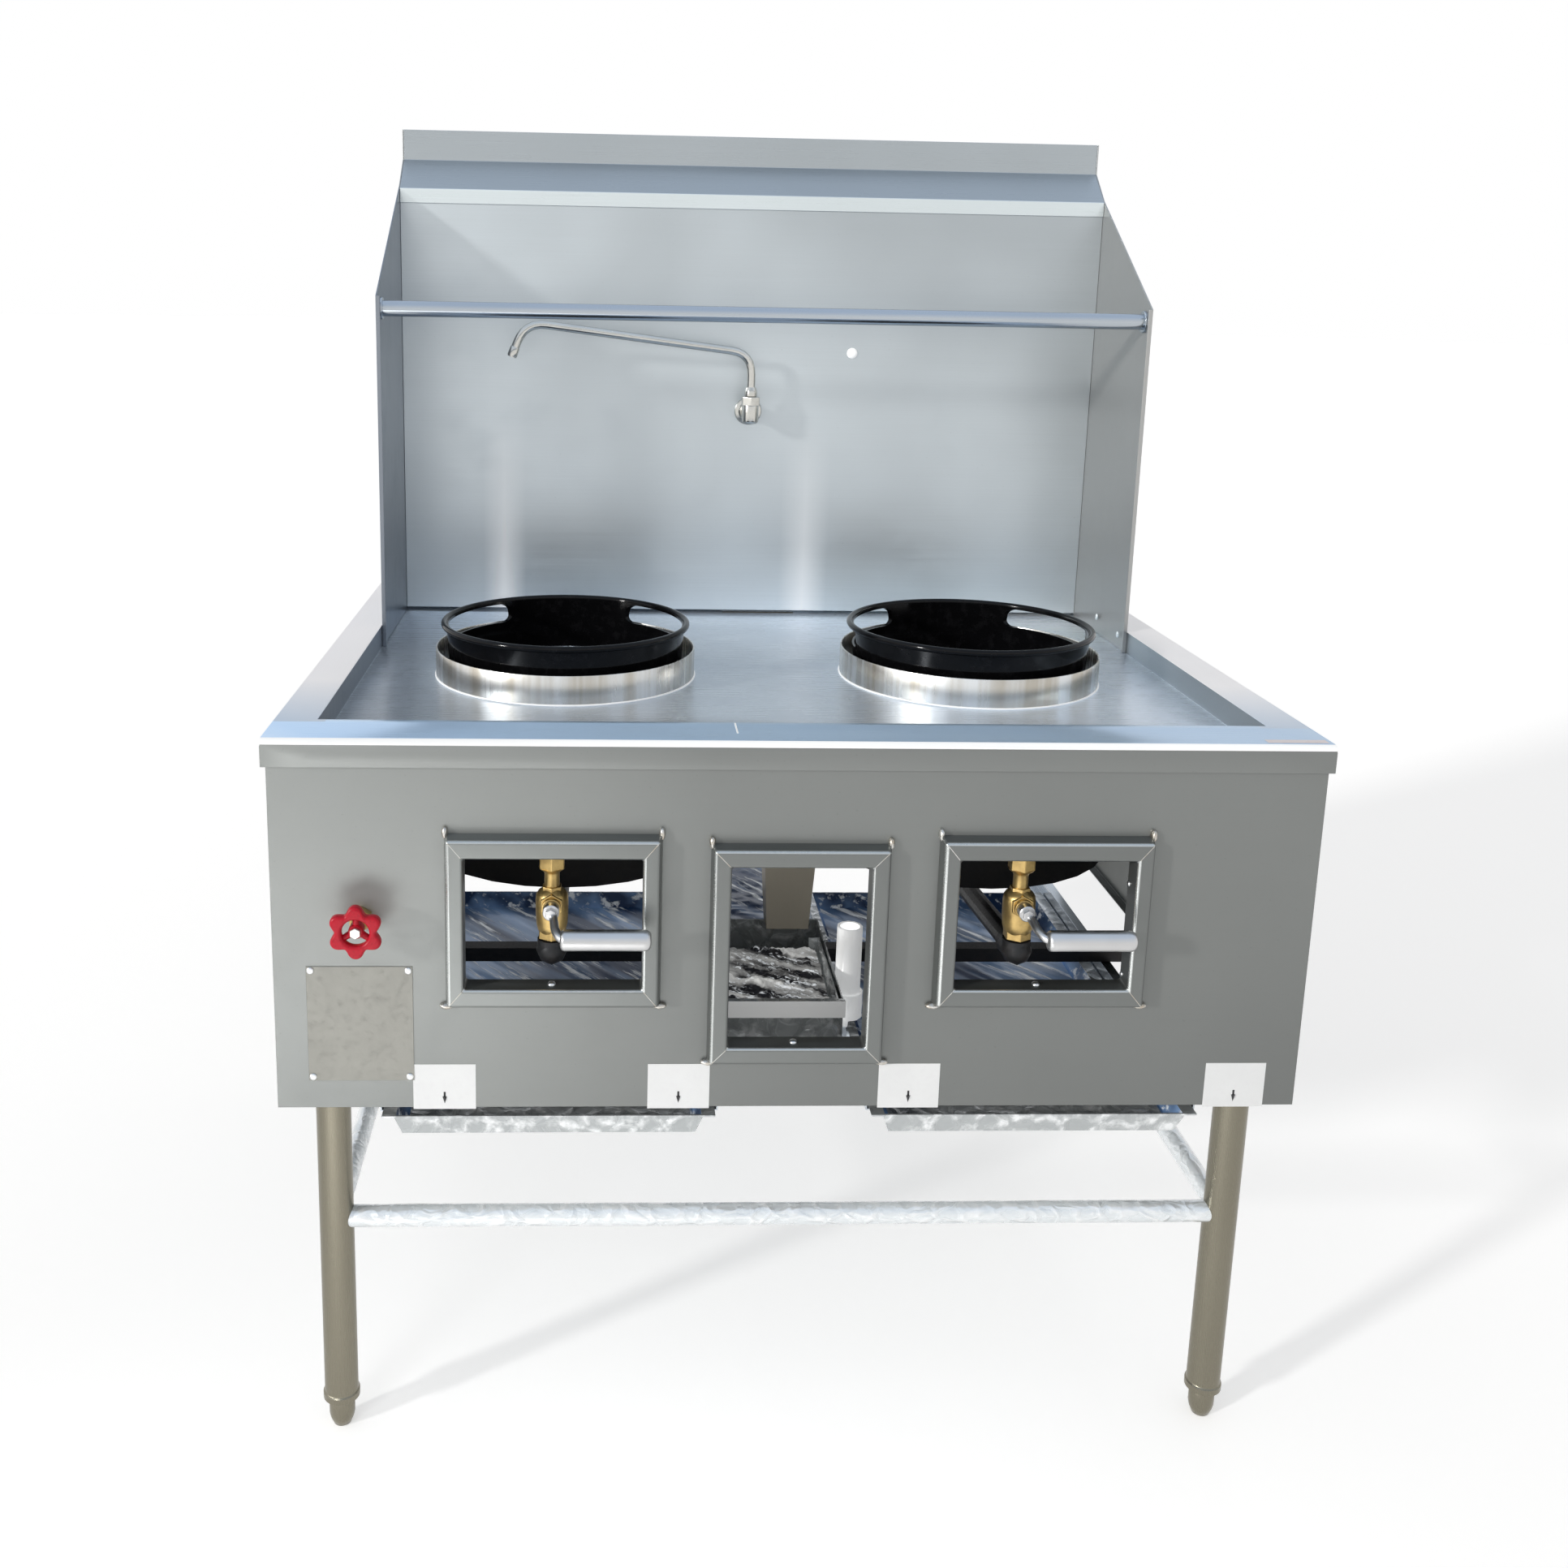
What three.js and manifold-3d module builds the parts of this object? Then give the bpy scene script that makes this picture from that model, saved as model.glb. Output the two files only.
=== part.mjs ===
// Two-chamber wok range: recessed deck with raised collars and lift-off wok rings, a hollow
// splash that vents the flue, a front panel with three framed windows, and four tube legs.
// Millimetres, +Z up. Pieces are drawn with X from the centre line, Y from the front face of
// the rim and Z from the floor; the last lines move the group to its own origin.
import * as THREE from 'three';
import { mergeVertices } from 'three/addons/utils/BufferGeometryUtils.js';
import Module from 'manifold-3d';

const wasm = await Module();
wasm.setup();

// ---- driving dimensions ----
const overall = { width: 1219, rimHeight: 906, splashFace: 840, back: 950, top: 1641 };
const sheet = 2;
const gap = 0.3;
const rim = { face: 33, front: 80, side: 50, bend: 8 };
const recessDepth = 32;
const panel = { setback: 5, bottom: 455, apronBottom: 690, topBelowRim: 3.2, fold: 15 };
const gutter = { depth: 25, wallRise: 20, scupper: 6, drainX: [-35, 85], drainY: [846, 861] };
const chamber = { spacing: 283, y: 436, outer: 205, inner: 168, bottom: 637, floor: 8, airHole: 60 };
const well = { reach: 146, sides: 8 };
const collar = { outer: 179.5, wall: 2.5, height: 40 };
const wokRing = {
  bandBottom: 160, bandTop: 165, wall: 4, hoop: 167.5, hoopWire: 4.5, hoopRise: 72,
  windowHalf: 135, windowBottom: 42, windowTop: 69, windowCorner: 10,
};
const burner = {
  z: 785, head: 74, headHeight: 34, headChamfer: 12, jet: 6, jetTip: 4, jetHeight: 20,
  rings: [[26, 6], [54, 10]],
};
const windowFrame = { proud: 19, slope: 3, inward: 11, cutClearance: 0.5 };
const windows = [
  { name: 'left', x: -283, z: 691, open: [204, 158], outer: [248, 208] },
  { name: 'center', x: 0, z: 650, open: [161, 222], outer: [207, 269] },
  { name: 'right', x: 283, z: 691, open: [204, 158], outer: [248, 208] },
];
const leg = {
  x: 547.5, insetY: 45, radius: 20.65, wall: 2, ringRadius: 22.5, ringBottom: 38, ringTop: 48, plugTop: 62,
};
const foot = { radius: 15.8, toe: 11, noseTop: 9, sideLow: 16, lead: 2, bore: 8.6, stem: 8.2, stemTop: 100 };
const stretcher = { radius: 13.3, wall: 2, z: 287 };
const rail = { height: 20, depth: 25, wall: 3 };
const tray = { x: [-288, 295], half: 184, lip: 14, top: 438, bottom: 411, front: 14, back: 700, taper: 9 };
const runner = { foot: 14, shelf: 433.7, hang: 457, flange: 12 };
const splashSide = { front: 580, shoulder: 1385, top: 1550, hem: 6 };
const flue = { lipDrop: 22, lipTop: 1548, foldTop: 1595, setBack: 54, hem: 8 };
const potRail = { radius: 11.4, y: 604, z: 1367, boss: 16, bossDepth: 5 };
const faucet = {
  x: -2, z: 1210, pivotY: 795, shank: 10, shankBack: 20, flange: 22, flangeDepth: 5, body: 13,
  low: 16, high: 18, nut: 16, nutLow: 12, nutTop: 26, tube: 6.5,
};
// Corners and bends of the spout, measured from the faucet's pivot.
const spoutPath = {
  foot: [0, 0, 27], rise: [0, 0, 60], firstBend: [0, 0, 92], armStart: [-32, -5, 94],
  armEnd: [-310, -48, 134], secondBend: [-355, -55, 140], fall: [-369, -57, 108], tip: [-375, -58, 85],
};
const ferrule = { radius: 10, neck: 7.5, shoulder: 8, top: 14 };
const plugHole = { x: 164, z: 1305, radius: 8.5 };
const gasValve = {
  x: [-286, 264], y: 35, stemZ: 702, bottom: 656, top: 767, nut: 15, nutFront: 16, stem: 11, stemFront: 10,
};
const lever = {
  gripRadius: 12, gripStart: 12, gripEnd: 114, gripY: -45, drop: 14, rod: 5,
  hub: 9.5, hubFront: -4, nut: 6.5, nutFront: -9,
};
const gasPipe = { radius: 13.4, elbow: 19, collar: 17, elbowZ: 642, collarReach: [30, -3.3] };
const manifoldPipe = { radius: 16.7, y: 800, z: 560, left: -320, right: 440, inletEnd: 980, wall: 3.5 };
const water = {
  x: -502, y: 35, stemZ: 693, pipe: 8, elbow: 11, supplyZ: 500, riseZ: 760, flueY: 890,
  bodyHalf: 30, end: 12, belly: 15, bonnet: 13, stem: 9, stemFront: -8, panelHole: 9.5,
  lockNut: 14, lockNutFront: -4,
};
const pipeClearance = 3;
const handwheel = {
  radius: 28.5, lobe: 3, lobes: 6, bevel: 2, hole: 19, hub: 8, hubBack: -22, hubFront: -36,
  spoke: 3.5, back: -30, front: -40, nut: 6.5, nutFront: -41, stem: 4,
};
// Each station of the duct: its span in X, and the [y, z] of its front and back edges.
const chute = {
  wall: 2,
  through: 4,
  stations: [
    { x: [-37, 87], front: [844, 871.7], back: [863, 871.7] },
    { x: [-35, 85], front: [825, 842], back: [852, 800] },
    { x: [-12, 64], front: [300, 706], back: [338, 660] },
    { x: [-5, 52], front: [295, 552], back: [335, 552] },
  ],
};
const strainer = {
  x: [-82, 72], y: [100, 345], top: 545, bottom: 492, lip: 22, lipDepth: 6,
  basketBack: 288, basketSide: 5, basketTaper: 6, mouthInset: 20, mouthDepth: 22,
};
const drain = {
  x: -5, y: 200, radius: 16.7, bore: 13, z: 474.5, outlet: 385, standX: 93, standTop: 598,
  socket: 3.5, socketHeight: 34,
};
const sides = [['left', -1], ['right', 1]];

// ---- places worked out from them ----
const halfWidth = overall.width / 2;
const deckFloor = overall.rimHeight - recessDepth;
const recessHalf = halfWidth - rim.side;
const bodyHalf = halfWidth - panel.setback;
const panelTop = overall.rimHeight - panel.topBelowRim;
const panelBack = panel.setback + sheet;
const skirtBottom = overall.rimHeight - rim.face;
const casingBack = overall.back - 2 * sheet - 2 * gap;
const gutterWall = overall.splashFace + gutter.depth;
const railBottom = panel.bottom + sheet + gap;
const rearLegY = overall.back - leg.insetY;
const railFronts = {
  front: leg.insetY - rail.depth / 2,
  middle: 395,
  rear: rearLegY - rail.depth / 2,
};

// ---- finishes ----
const finishes = {
  brushedSteel: { color: 0x9ea3a4, roughness: 0.36, metalness: 1 },
  tubeSteel: { color: 0x8c8a7e, roughness: 0.3, metalness: 1 },
  galvanised: { color: 0xb4bbc0, roughness: 0.45, metalness: 0.9 },
  blackEnamel: { color: 0x0b0c0d, roughness: 0.18, metalness: 0.2 },
  blackIron: { color: 0x17191b, roughness: 0.6, metalness: 0.7 },
  castIron: { color: 0x2a2b2c, roughness: 0.75, metalness: 0.6 },
  brass: { color: 0xb08a3c, roughness: 0.35, metalness: 1 },
  nickel: { color: 0xc9c8c0, roughness: 0.22, metalness: 1 },
  redPaint: { color: 0xc21226, roughness: 0.35, metalness: 0.1 },
  whitePlastic: { color: 0xe9e9e4, roughness: 0.4, metalness: 0 },
  chuteSteel: { color: 0x8f8a78, roughness: 0.4, metalness: 0.9 },
};

const range = new THREE.Group();

function addPiece(name, geometry, finish) {
  const mesh = new THREE.Mesh(geometry, new THREE.MeshStandardMaterial(finishes[finish]));
  mesh.name = name;
  range.add(mesh);
}

// ---- closed shapes ----

// Shared corners are merged, flat slivers dropped, and the faces turned to point outwards.
function sealed(geometry) {
  const bare = geometry.clone();
  bare.deleteAttribute('normal');
  bare.deleteAttribute('uv');
  const merged = mergeVertices(bare, 1e-3);
  const position = merged.getAttribute('position');
  const index = Array.from(merged.getIndex().array);
  const corners = [new THREE.Vector3(), new THREE.Vector3(), new THREE.Vector3()];
  const kept = [];
  let volume = 0;
  for (let i = 0; i < index.length; i += 3) {
    const triple = index.slice(i, i + 3);
    if (new Set(triple).size < 3) continue;
    triple.forEach((vertex, k) => corners[k].fromBufferAttribute(position, vertex));
    volume += corners[0].dot(corners[1].clone().cross(corners[2]));
    kept.push(...triple);
  }
  merged.setIndex(volume < 0 ? kept.reverse() : kept);
  return merged;
}

function toSolid(geometry) {
  const closed = sealed(geometry);
  return new wasm.Manifold(new wasm.Mesh({
    numProp: 3,
    vertProperties: new Float32Array(closed.getAttribute('position').array),
    triVerts: new Uint32Array(closed.getIndex().array),
  }));
}

function toGeometry(solid) {
  const mesh = solid.getMesh();
  const geometry = new THREE.BufferGeometry();
  geometry.setAttribute('position', new THREE.BufferAttribute(new Float32Array(mesh.vertProperties), 3));
  geometry.setIndex(new THREE.BufferAttribute(new Uint32Array(mesh.triVerts), 1));
  return geometry;
}

function join(first, ...others) {
  return toGeometry(others.reduce((solid, next) => solid.add(toSolid(next)), toSolid(first)));
}

function cut(first, ...tools) {
  return toGeometry(tools.reduce((solid, tool) => solid.subtract(toSolid(tool)), toSolid(first)));
}

function block([x0, x1], [y0, y1], [z0, z1]) {
  const geometry = new THREE.BoxGeometry(x1 - x0, y1 - y0, z1 - z0);
  return geometry.translate((x0 + x1) / 2, (y0 + y1) / 2, (z0 + z1) / 2);
}

// A profile of [radius, height] points turned about an upright axis at (x, y).
function turned(profile, segments, x = 0, y = 0) {
  const points = profile.map(([radius, height]) => new THREE.Vector2(radius, height));
  return sealed(new THREE.LatheGeometry(points, segments)).rotateX(Math.PI / 2).translate(x, y, 0);
}

// The same for a ring profile, which closes on itself.
function turnedRing(profile, segments, x = 0, y = 0) {
  return turned([...profile, profile[0]], segments, x, y);
}

// A straight round bar from one [x, y, z] point to another.
function bar(from, to, radius, segments = 10, endRadius = radius) {
  const start = new THREE.Vector3(...from);
  const span = new THREE.Vector3(...to).sub(start);
  const geometry = new THREE.CylinderGeometry(endRadius, radius, span.length(), segments);
  geometry.translate(0, span.length() / 2, 0);
  const turn = new THREE.Quaternion().setFromUnitVectors(new THREE.Vector3(0, 1, 0), span.normalize());
  return geometry.applyQuaternion(turn).translate(...from);
}

function ball([x, y, z], radius) {
  return new THREE.SphereGeometry(radius, 8, 6).translate(x, y, z);
}

function outline(points) {
  return new THREE.Shape(points.map(([a, b]) => new THREE.Vector2(a, b)));
}

// An outline of [y, z] points drawn out along X.
function alongX(shape, [x0, x1], curveSegments = 6) {
  const depth = x1 - x0;
  const geometry = new THREE.ExtrudeGeometry(shape, { depth, bevelEnabled: false, curveSegments });
  const turn = new THREE.Matrix4().makeBasis(
    new THREE.Vector3(0, 1, 0), new THREE.Vector3(0, 0, 1), new THREE.Vector3(1, 0, 0),
  );
  return geometry.applyMatrix4(turn).translate(x0, 0, 0);
}

// An outline of [x, z] points drawn out along Y.
function alongY(shape, [y0, y1], curveSegments = 6) {
  const depth = y1 - y0;
  const geometry = new THREE.ExtrudeGeometry(shape, { depth, bevelEnabled: false, curveSegments });
  return geometry.rotateX(Math.PI / 2).translate(0, y1, 0);
}

// A skin over matching loops of [x, y, z] corners, with both ends closed.
function loft(loops) {
  const count = loops[0].length;
  const index = [];
  for (let level = 0; level < loops.length - 1; level += 1) {
    for (let i = 0; i < count; i += 1) {
      const next = (i + 1) % count;
      const low = level * count;
      const high = low + count;
      index.push(low + i, low + next, high + next);
      index.push(low + i, high + next, high + i);
    }
  }
  const last = (loops.length - 1) * count;
  for (let i = 1; i < count - 1; i += 1) {
    index.push(0, i + 1, i);
    index.push(last, last + i, last + i + 1);
  }
  const geometry = new THREE.BufferGeometry();
  geometry.setAttribute('position', new THREE.Float32BufferAttribute(loops.flat(2), 3));
  geometry.setIndex(index);
  return sealed(geometry);
}

// A tube of one radius along a curve.
function tubeAlong(curve, radius, sidesCount, steps) {
  const section = outline(Array.from({ length: sidesCount }, (_, i) => {
    const angle = (2 * Math.PI * i) / sidesCount;
    return [radius * Math.cos(angle), radius * Math.sin(angle)];
  }));
  return new THREE.ExtrudeGeometry(section, { steps, extrudePath: curve, bevelEnabled: false });
}

// A span given from its outer face inwards, put in rising order.
function span(outer, inner) {
  return [Math.min(outer, inner), Math.max(outer, inner)];
}

// Pipe with a round elbow fitting at every corner of its route.
function pipeRun(route, radius, elbow) {
  const straights = route.slice(1).map((point, i) => bar(route[i], point, radius));
  const elbows = route.slice(1, -1).map((point) => ball(point, elbow));
  return join(...straights, ...elbows);
}

// ---- body ----

// A slab under the rim with a rounded front edge, open or solid as its caller cuts it.
function rimSlab(inset, bottom, back) {
  const top = overall.rimHeight - inset;
  const bend = rim.bend - inset;
  const section = new THREE.Shape();
  section.moveTo(inset, bottom);
  section.lineTo(inset, top - bend);
  section.absarc(inset + bend, top - bend, bend, Math.PI, Math.PI / 2, true);
  section.lineTo(back, top);
  section.lineTo(back, bottom);
  return alongX(section, [-halfWidth + inset, halfWidth - inset], 4);
}

function topDeck() {
  const back = overall.back - sheet;
  const skin = cut(rimSlab(0, skirtBottom, overall.back), rimSlab(sheet, skirtBottom - 1, back));
  const pan = block(
    [-recessHalf - sheet, recessHalf + sheet],
    [rim.front - sheet, back + sheet / 2],
    [deckFloor - sheet, overall.rimHeight - sheet / 2],
  );
  const open = [deckFloor, overall.rimHeight + 1];
  const recess = block([-recessHalf, recessHalf], [rim.front, gutterWall], open);
  const throat = block(
    [-recessHalf, recessHalf], [gutterWall + sheet, back], [deckFloor - 2 * sheet, overall.rimHeight + 1],
  );
  const lowWall = block(
    [-recessHalf, recessHalf],
    [gutterWall - 1, gutterWall + sheet + 1],
    [deckFloor + gutter.wallRise, overall.rimHeight + 1],
  );
  const drainSlot = block(gutter.drainX, gutter.drainY, [deckFloor - 2 * sheet, deckFloor + 1]);
  // The corners of the eight-sided holes stay under the bands of the wok rings.
  const wellCorner = well.reach / Math.cos(Math.PI / well.sides);
  const wells = sides.map(([, sign]) => bar(
    [sign * chamber.spacing, chamber.y, deckFloor - 2 * sheet],
    [sign * chamber.spacing, chamber.y, deckFloor + 1],
    wellCorner, well.sides,
  ));
  return cut(join(skin, pan), recess, throat, lowWall, drainSlot, ...wells);
}

function windowCut({ x, z, open }) {
  const margin = sheet + windowFrame.cutClearance;
  return block(
    [x - open[0] / 2 - margin, x + open[0] / 2 + margin],
    [panel.setback - 1, panelBack + 1],
    [z - open[1] / 2 - margin, z + open[1] / 2 + margin],
  );
}

function frontPanel() {
  const y = [panel.setback, panelBack];
  const face = block([-bodyHalf, bodyHalf], y, [panel.bottom, panelTop]);
  const foldX = [-bodyHalf + sheet + gap, bodyHalf - sheet - gap];
  const foldY = [panel.setback, panel.setback + panel.fold];
  const lowFold = block(foldX, foldY, [panel.bottom, panel.bottom + sheet]);
  const highFold = block(foldX, foldY, [panelTop - sheet, panelTop]);
  const stemHole = bar([water.x, 0, water.stemZ], [water.x, panelBack + 2, water.stemZ], water.panelHole, 16);
  return cut(join(face, lowFold, highFold), stemHole, ...windows.map(windowCut));
}

function sidePanel(sign) {
  const x = span(sign * bodyHalf, sign * (bodyHalf - sheet));
  const fold = span(sign * bodyHalf, sign * (bodyHalf - panel.fold));
  const y = [panelBack + gap, overall.back - sheet - gap];
  const belowFrontFolds = [panel.setback + panel.fold + gap, y[1] - sheet - gap - panel.fold];
  return join(
    block(x, y, [panel.bottom, panelTop]),
    block(fold, belowFrontFolds, [panel.bottom, panel.bottom + sheet]),
    block(fold, belowFrontFolds, [panelTop - sheet, panelTop]),
  );
}

// Apron that closes the top of the back; the gas and water pipes pass through the open part below.
function rearPanel() {
  const half = bodyHalf - sheet - gap;
  const y = [overall.back - 2 * sheet - gap, overall.back - sheet - gap];
  const face = block([-half, half], y, [panel.apronBottom, deckFloor - sheet - gap]);
  const fold = block(
    [-half, half], [y[1] - panel.fold, y[1]], [panel.apronBottom, panel.apronBottom + sheet],
  );
  return join(face, fold);
}

function rectangle(x, z, [width, height], y) {
  return [
    [x - width / 2, y, z - height / 2], [x + width / 2, y, z - height / 2],
    [x + width / 2, y, z + height / 2], [x - width / 2, y, z + height / 2],
  ];
}

// Formed frame: flat face, sloped outer flange, and a sleeve that lines the panel's cut-out.
function framePiece({ x, z, open, outer }) {
  const base = panel.setback - gap;
  const front = panel.setback - windowFrame.proud;
  const grown = (size, by) => size.map((value) => value + 2 * by);
  const shell = loft([
    rectangle(x, z, outer, base),
    rectangle(x, z, grown(outer, -windowFrame.slope), front),
  ]);
  const hollow = loft([
    rectangle(x, z, grown(outer, -sheet), base + 1),
    rectangle(x, z, grown(outer, -windowFrame.slope - sheet), front + sheet),
  ]);
  const sleeve = loft([
    rectangle(x, z, grown(open, sheet), front + sheet / 2),
    rectangle(x, z, grown(open, sheet), panel.setback + windowFrame.inward),
  ]);
  const opening = loft([
    rectangle(x, z, open, front - 1),
    rectangle(x, z, open, panel.setback + windowFrame.inward + 1),
  ]);
  return cut(join(cut(shell, hollow), sleeve), opening);
}

// ---- underframe ----

function legTube(x, y) {
  const inner = leg.radius - leg.wall;
  const top = railBottom - gap;
  return turnedRing([
    [foot.bore, leg.ringBottom], [leg.ringRadius, leg.ringBottom], [leg.ringRadius, leg.ringTop],
    [leg.radius, leg.ringTop], [leg.radius, top], [inner, top], [inner, leg.plugTop],
    [foot.bore, leg.plugTop],
  ], 16, x, y);
}

function bulletFoot(x, y) {
  const shoulder = leg.ringBottom - gap;
  return turned([
    [0, 0], [foot.toe, 0], [foot.radius - foot.lead / 2, foot.noseTop], [foot.radius, foot.sideLow],
    [foot.radius, shoulder - 2 * foot.lead], [foot.radius - foot.lead, shoulder],
    [foot.stem, shoulder], [foot.stem, foot.stemTop], [0, foot.stemTop],
  ], 12, x, y);
}

// A tube between two legs, coped to the round of each.
function legStretcher(from, to) {
  const z = stretcher.z;
  const tube = cut(
    bar([...from, z], [...to, z], stretcher.radius, 12),
    bar([...from, z], [...to, z], stretcher.radius - stretcher.wall, 12),
  );
  const copes = [from, to].map(([x, y]) => (
    bar([x, y, z - leg.radius], [x, y, z + leg.radius], leg.radius + gap, 16)
  ));
  return cut(tube, ...copes);
}

// A channel across the body, open towards the back.
function chassisRail(front) {
  const back = front + rail.depth;
  const top = railBottom + rail.height;
  const section = outline([
    [front, railBottom], [back, railBottom], [back, railBottom + rail.wall],
    [front + rail.wall, railBottom + rail.wall], [front + rail.wall, top - rail.wall],
    [back, top - rail.wall], [back, top], [front, top],
  ]);
  const half = bodyHalf - sheet - gap;
  return alongX(section, [-half, half]);
}

function dripTray(x) {
  const loopAt = (inset, z) => {
    const half = tray.half - inset;
    const front = tray.front + inset;
    const back = tray.back - inset;
    return [[x - half, front, z], [x + half, front, z], [x + half, back, z], [x - half, back, z]];
  };
  const pan = loft([loopAt(tray.taper, tray.bottom), loopAt(0, tray.top)]);
  const inside = loft([
    loopAt(tray.taper + sheet, tray.bottom + sheet),
    loopAt(sheet, tray.top + sheet),
  ]);
  const lips = [-1, 1].map((sign) => {
    const edges = span(x + sign * (tray.half + tray.lip), x + sign * (tray.half - sheet));
    return block(edges, [tray.front, tray.back], [tray.top - sheet, tray.top]);
  });
  return join(cut(pan, inside), ...lips);
}

// A Z-section that hangs from the rails and carries one edge of a tray.
function trayRunner(x, sign) {
  const web = x + sign * (tray.half + tray.lip + 2);
  const inner = web - sign * runner.foot;
  const outer = web + sign * (sheet + runner.flange);
  const section = outline([
    [inner, runner.shelf], [web + sign * sheet, runner.shelf],
    [web + sign * sheet, runner.hang - sheet], [outer, runner.hang - sheet],
    [outer, runner.hang], [web, runner.hang], [web, runner.shelf + sheet], [inner, runner.shelf + sheet],
  ]);
  return alongY(section, [railFronts.front, railFronts.rear + rail.depth]);
}

// ---- splash and flue ----

function splashBack() {
  const half = recessHalf - sheet - 2 * gap;
  const y = [overall.splashFace, overall.splashFace + sheet];
  const z = [deckFloor + gutter.scupper, flue.lipTop - sheet];
  const face = block([-half, half], y, z);
  const flanges = [-1, 1].map((sign) => (
    block(span(sign * half, sign * (half - sheet)), [y[0], y[1] + panel.fold], z)
  ));
  const holes = [[faucet.x, faucet.z, faucet.shank + 0.5], [plugHole.x, plugHole.z, plugHole.radius]];
  const drills = holes.map(([x, zHole, radius]) => (
    bar([x, y[0] - 2, zHole], [x, y[1] + 2, zHole], radius, 14)
  ));
  return cut(join(face, ...flanges), ...drills);
}

function splashWing(sign) {
  const outer = sign * (recessHalf - gap);
  const back = overall.splashFace + sheet;
  const floor = deckFloor + gap;
  const wing = outline([
    [splashSide.front, floor], [back, floor], [back, splashSide.top], [splashSide.front, splashSide.shoulder],
  ]);
  const inwards = (thickness) => span(outer, outer - sign * thickness);
  const hem = block(
    inwards(splashSide.hem),
    [splashSide.front, splashSide.front + splashSide.hem],
    [floor, splashSide.shoulder],
  );
  return join(alongX(wing, inwards(sheet)), hem);
}

// Back and side walls of the hollow splash, open at the top and at the foot.
function flueCasing() {
  const outer = recessHalf - gap;
  const front = overall.splashFace + sheet + gap;
  const low = deckFloor + gutter.wallRise + gap;
  const riser = overall.splashFace + flue.setBack;
  const cheek = outline([
    [front, low], [casingBack, low], [casingBack, overall.top], [riser, overall.top],
    [riser, flue.foldTop], [front, splashSide.top],
  ]);
  const cheeks = [-1, 1].map((sign) => (
    alongX(cheek, span(sign * outer, sign * (outer - sheet)))
  ));
  const back = block([-outer, outer], [casingBack - sheet, casingBack], [deckFloor, overall.top]);
  return join(back, ...cheeks);
}

// Folded front of the flue: lip over the splash, slope back, upright riser and top hem.
function flueCap() {
  const lip = overall.splashFace - sheet - gap;
  const riser = overall.splashFace + flue.setBack;
  const lipBottom = flue.lipTop - flue.lipDrop;
  const section = outline([
    [lip, lipBottom], [lip, flue.lipTop], [riser, flue.foldTop], [riser, overall.top],
    [riser + flue.hem, overall.top], [riser + flue.hem, overall.top - sheet],
    [riser + sheet, overall.top - sheet], [riser + sheet, flue.foldTop - sheet / 2],
    [lip + sheet, flue.lipTop - sheet / 2], [lip + sheet, lipBottom],
  ].reverse());
  const half = recessHalf - sheet - 2 * gap;
  return alongX(section, [-half, half]);
}

function potRailTube() {
  const end = recessHalf - sheet - 2 * gap;
  const { y, z } = potRail;
  const bosses = [-1, 1].map((sign) => (
    bar([sign * end, y, z], [sign * (end - potRail.bossDepth), y, z], potRail.boss, 20)
  ));
  return join(bar([-end, y, z], [end, y, z], potRail.radius, 20), ...bosses);
}

// ---- faucet and water ----

function faucetBody() {
  const { x, z, pivotY } = faucet;
  const face = overall.splashFace - gap;
  return join(
    bar([x, overall.splashFace + faucet.shankBack, z], [x, pivotY + 4, z], faucet.shank, 14),
    bar([x, face, z], [x, face - faucet.flangeDepth, z], faucet.flange, 20),
    bar([x, face - 4 * faucet.flangeDepth, z], [x, pivotY, z], faucet.body, 14),
    bar([x, pivotY, z - faucet.low], [x, pivotY, z + faucet.high], faucet.body, 14),
    bar([x, pivotY, z + faucet.nutLow], [x, pivotY, z + faucet.nutTop], faucet.nut, 6),
  );
}

function faucetSpout() {
  const { x, z, pivotY } = faucet;
  const low = z + faucet.nutTop + gap;
  const at = (offset) => new THREE.Vector3(x, pivotY, z).add(new THREE.Vector3(...offset));
  const straight = (from, to) => new THREE.LineCurve3(at(from), at(to));
  const bend = (from, corner, to) => new THREE.QuadraticBezierCurve3(at(from), at(corner), at(to));
  const path = new THREE.CurvePath();
  path.add(straight(spoutPath.foot, spoutPath.rise));
  path.add(bend(spoutPath.rise, spoutPath.firstBend, spoutPath.armStart));
  path.add(straight(spoutPath.armStart, spoutPath.armEnd));
  path.add(bend(spoutPath.armEnd, spoutPath.secondBend, spoutPath.fall));
  path.add(straight(spoutPath.fall, spoutPath.tip));
  const collarPiece = turned([
    [0, low], [ferrule.radius, low], [ferrule.radius, low + ferrule.shoulder],
    [ferrule.neck, low + ferrule.top], [0, low + ferrule.top],
  ], 14, x, pivotY);
  return join(tubeAlong(path, faucet.tube, 8, 28), collarPiece);
}

function waterValve() {
  const { x, y, stemZ, bodyHalf: half, end, belly } = water;
  const low = stemZ - half;
  const high = stemZ + half;
  const body = turned([
    [0, low], [end, low], [end, low + half / 3], [belly, low + half / 2], [belly, high - half / 2],
    [end, high - half / 3], [end, high], [0, high],
  ], 14, x, y);
  return join(
    body,
    bar([x, y, stemZ], [x, panelBack + 4, stemZ], water.bonnet, 6),
    bar([x, y, stemZ], [x, water.stemFront, stemZ], water.stem, 14),
    bar([x, panel.setback - gap, stemZ], [x, water.lockNutFront, stemZ], water.lockNut, 6),
  );
}

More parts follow.
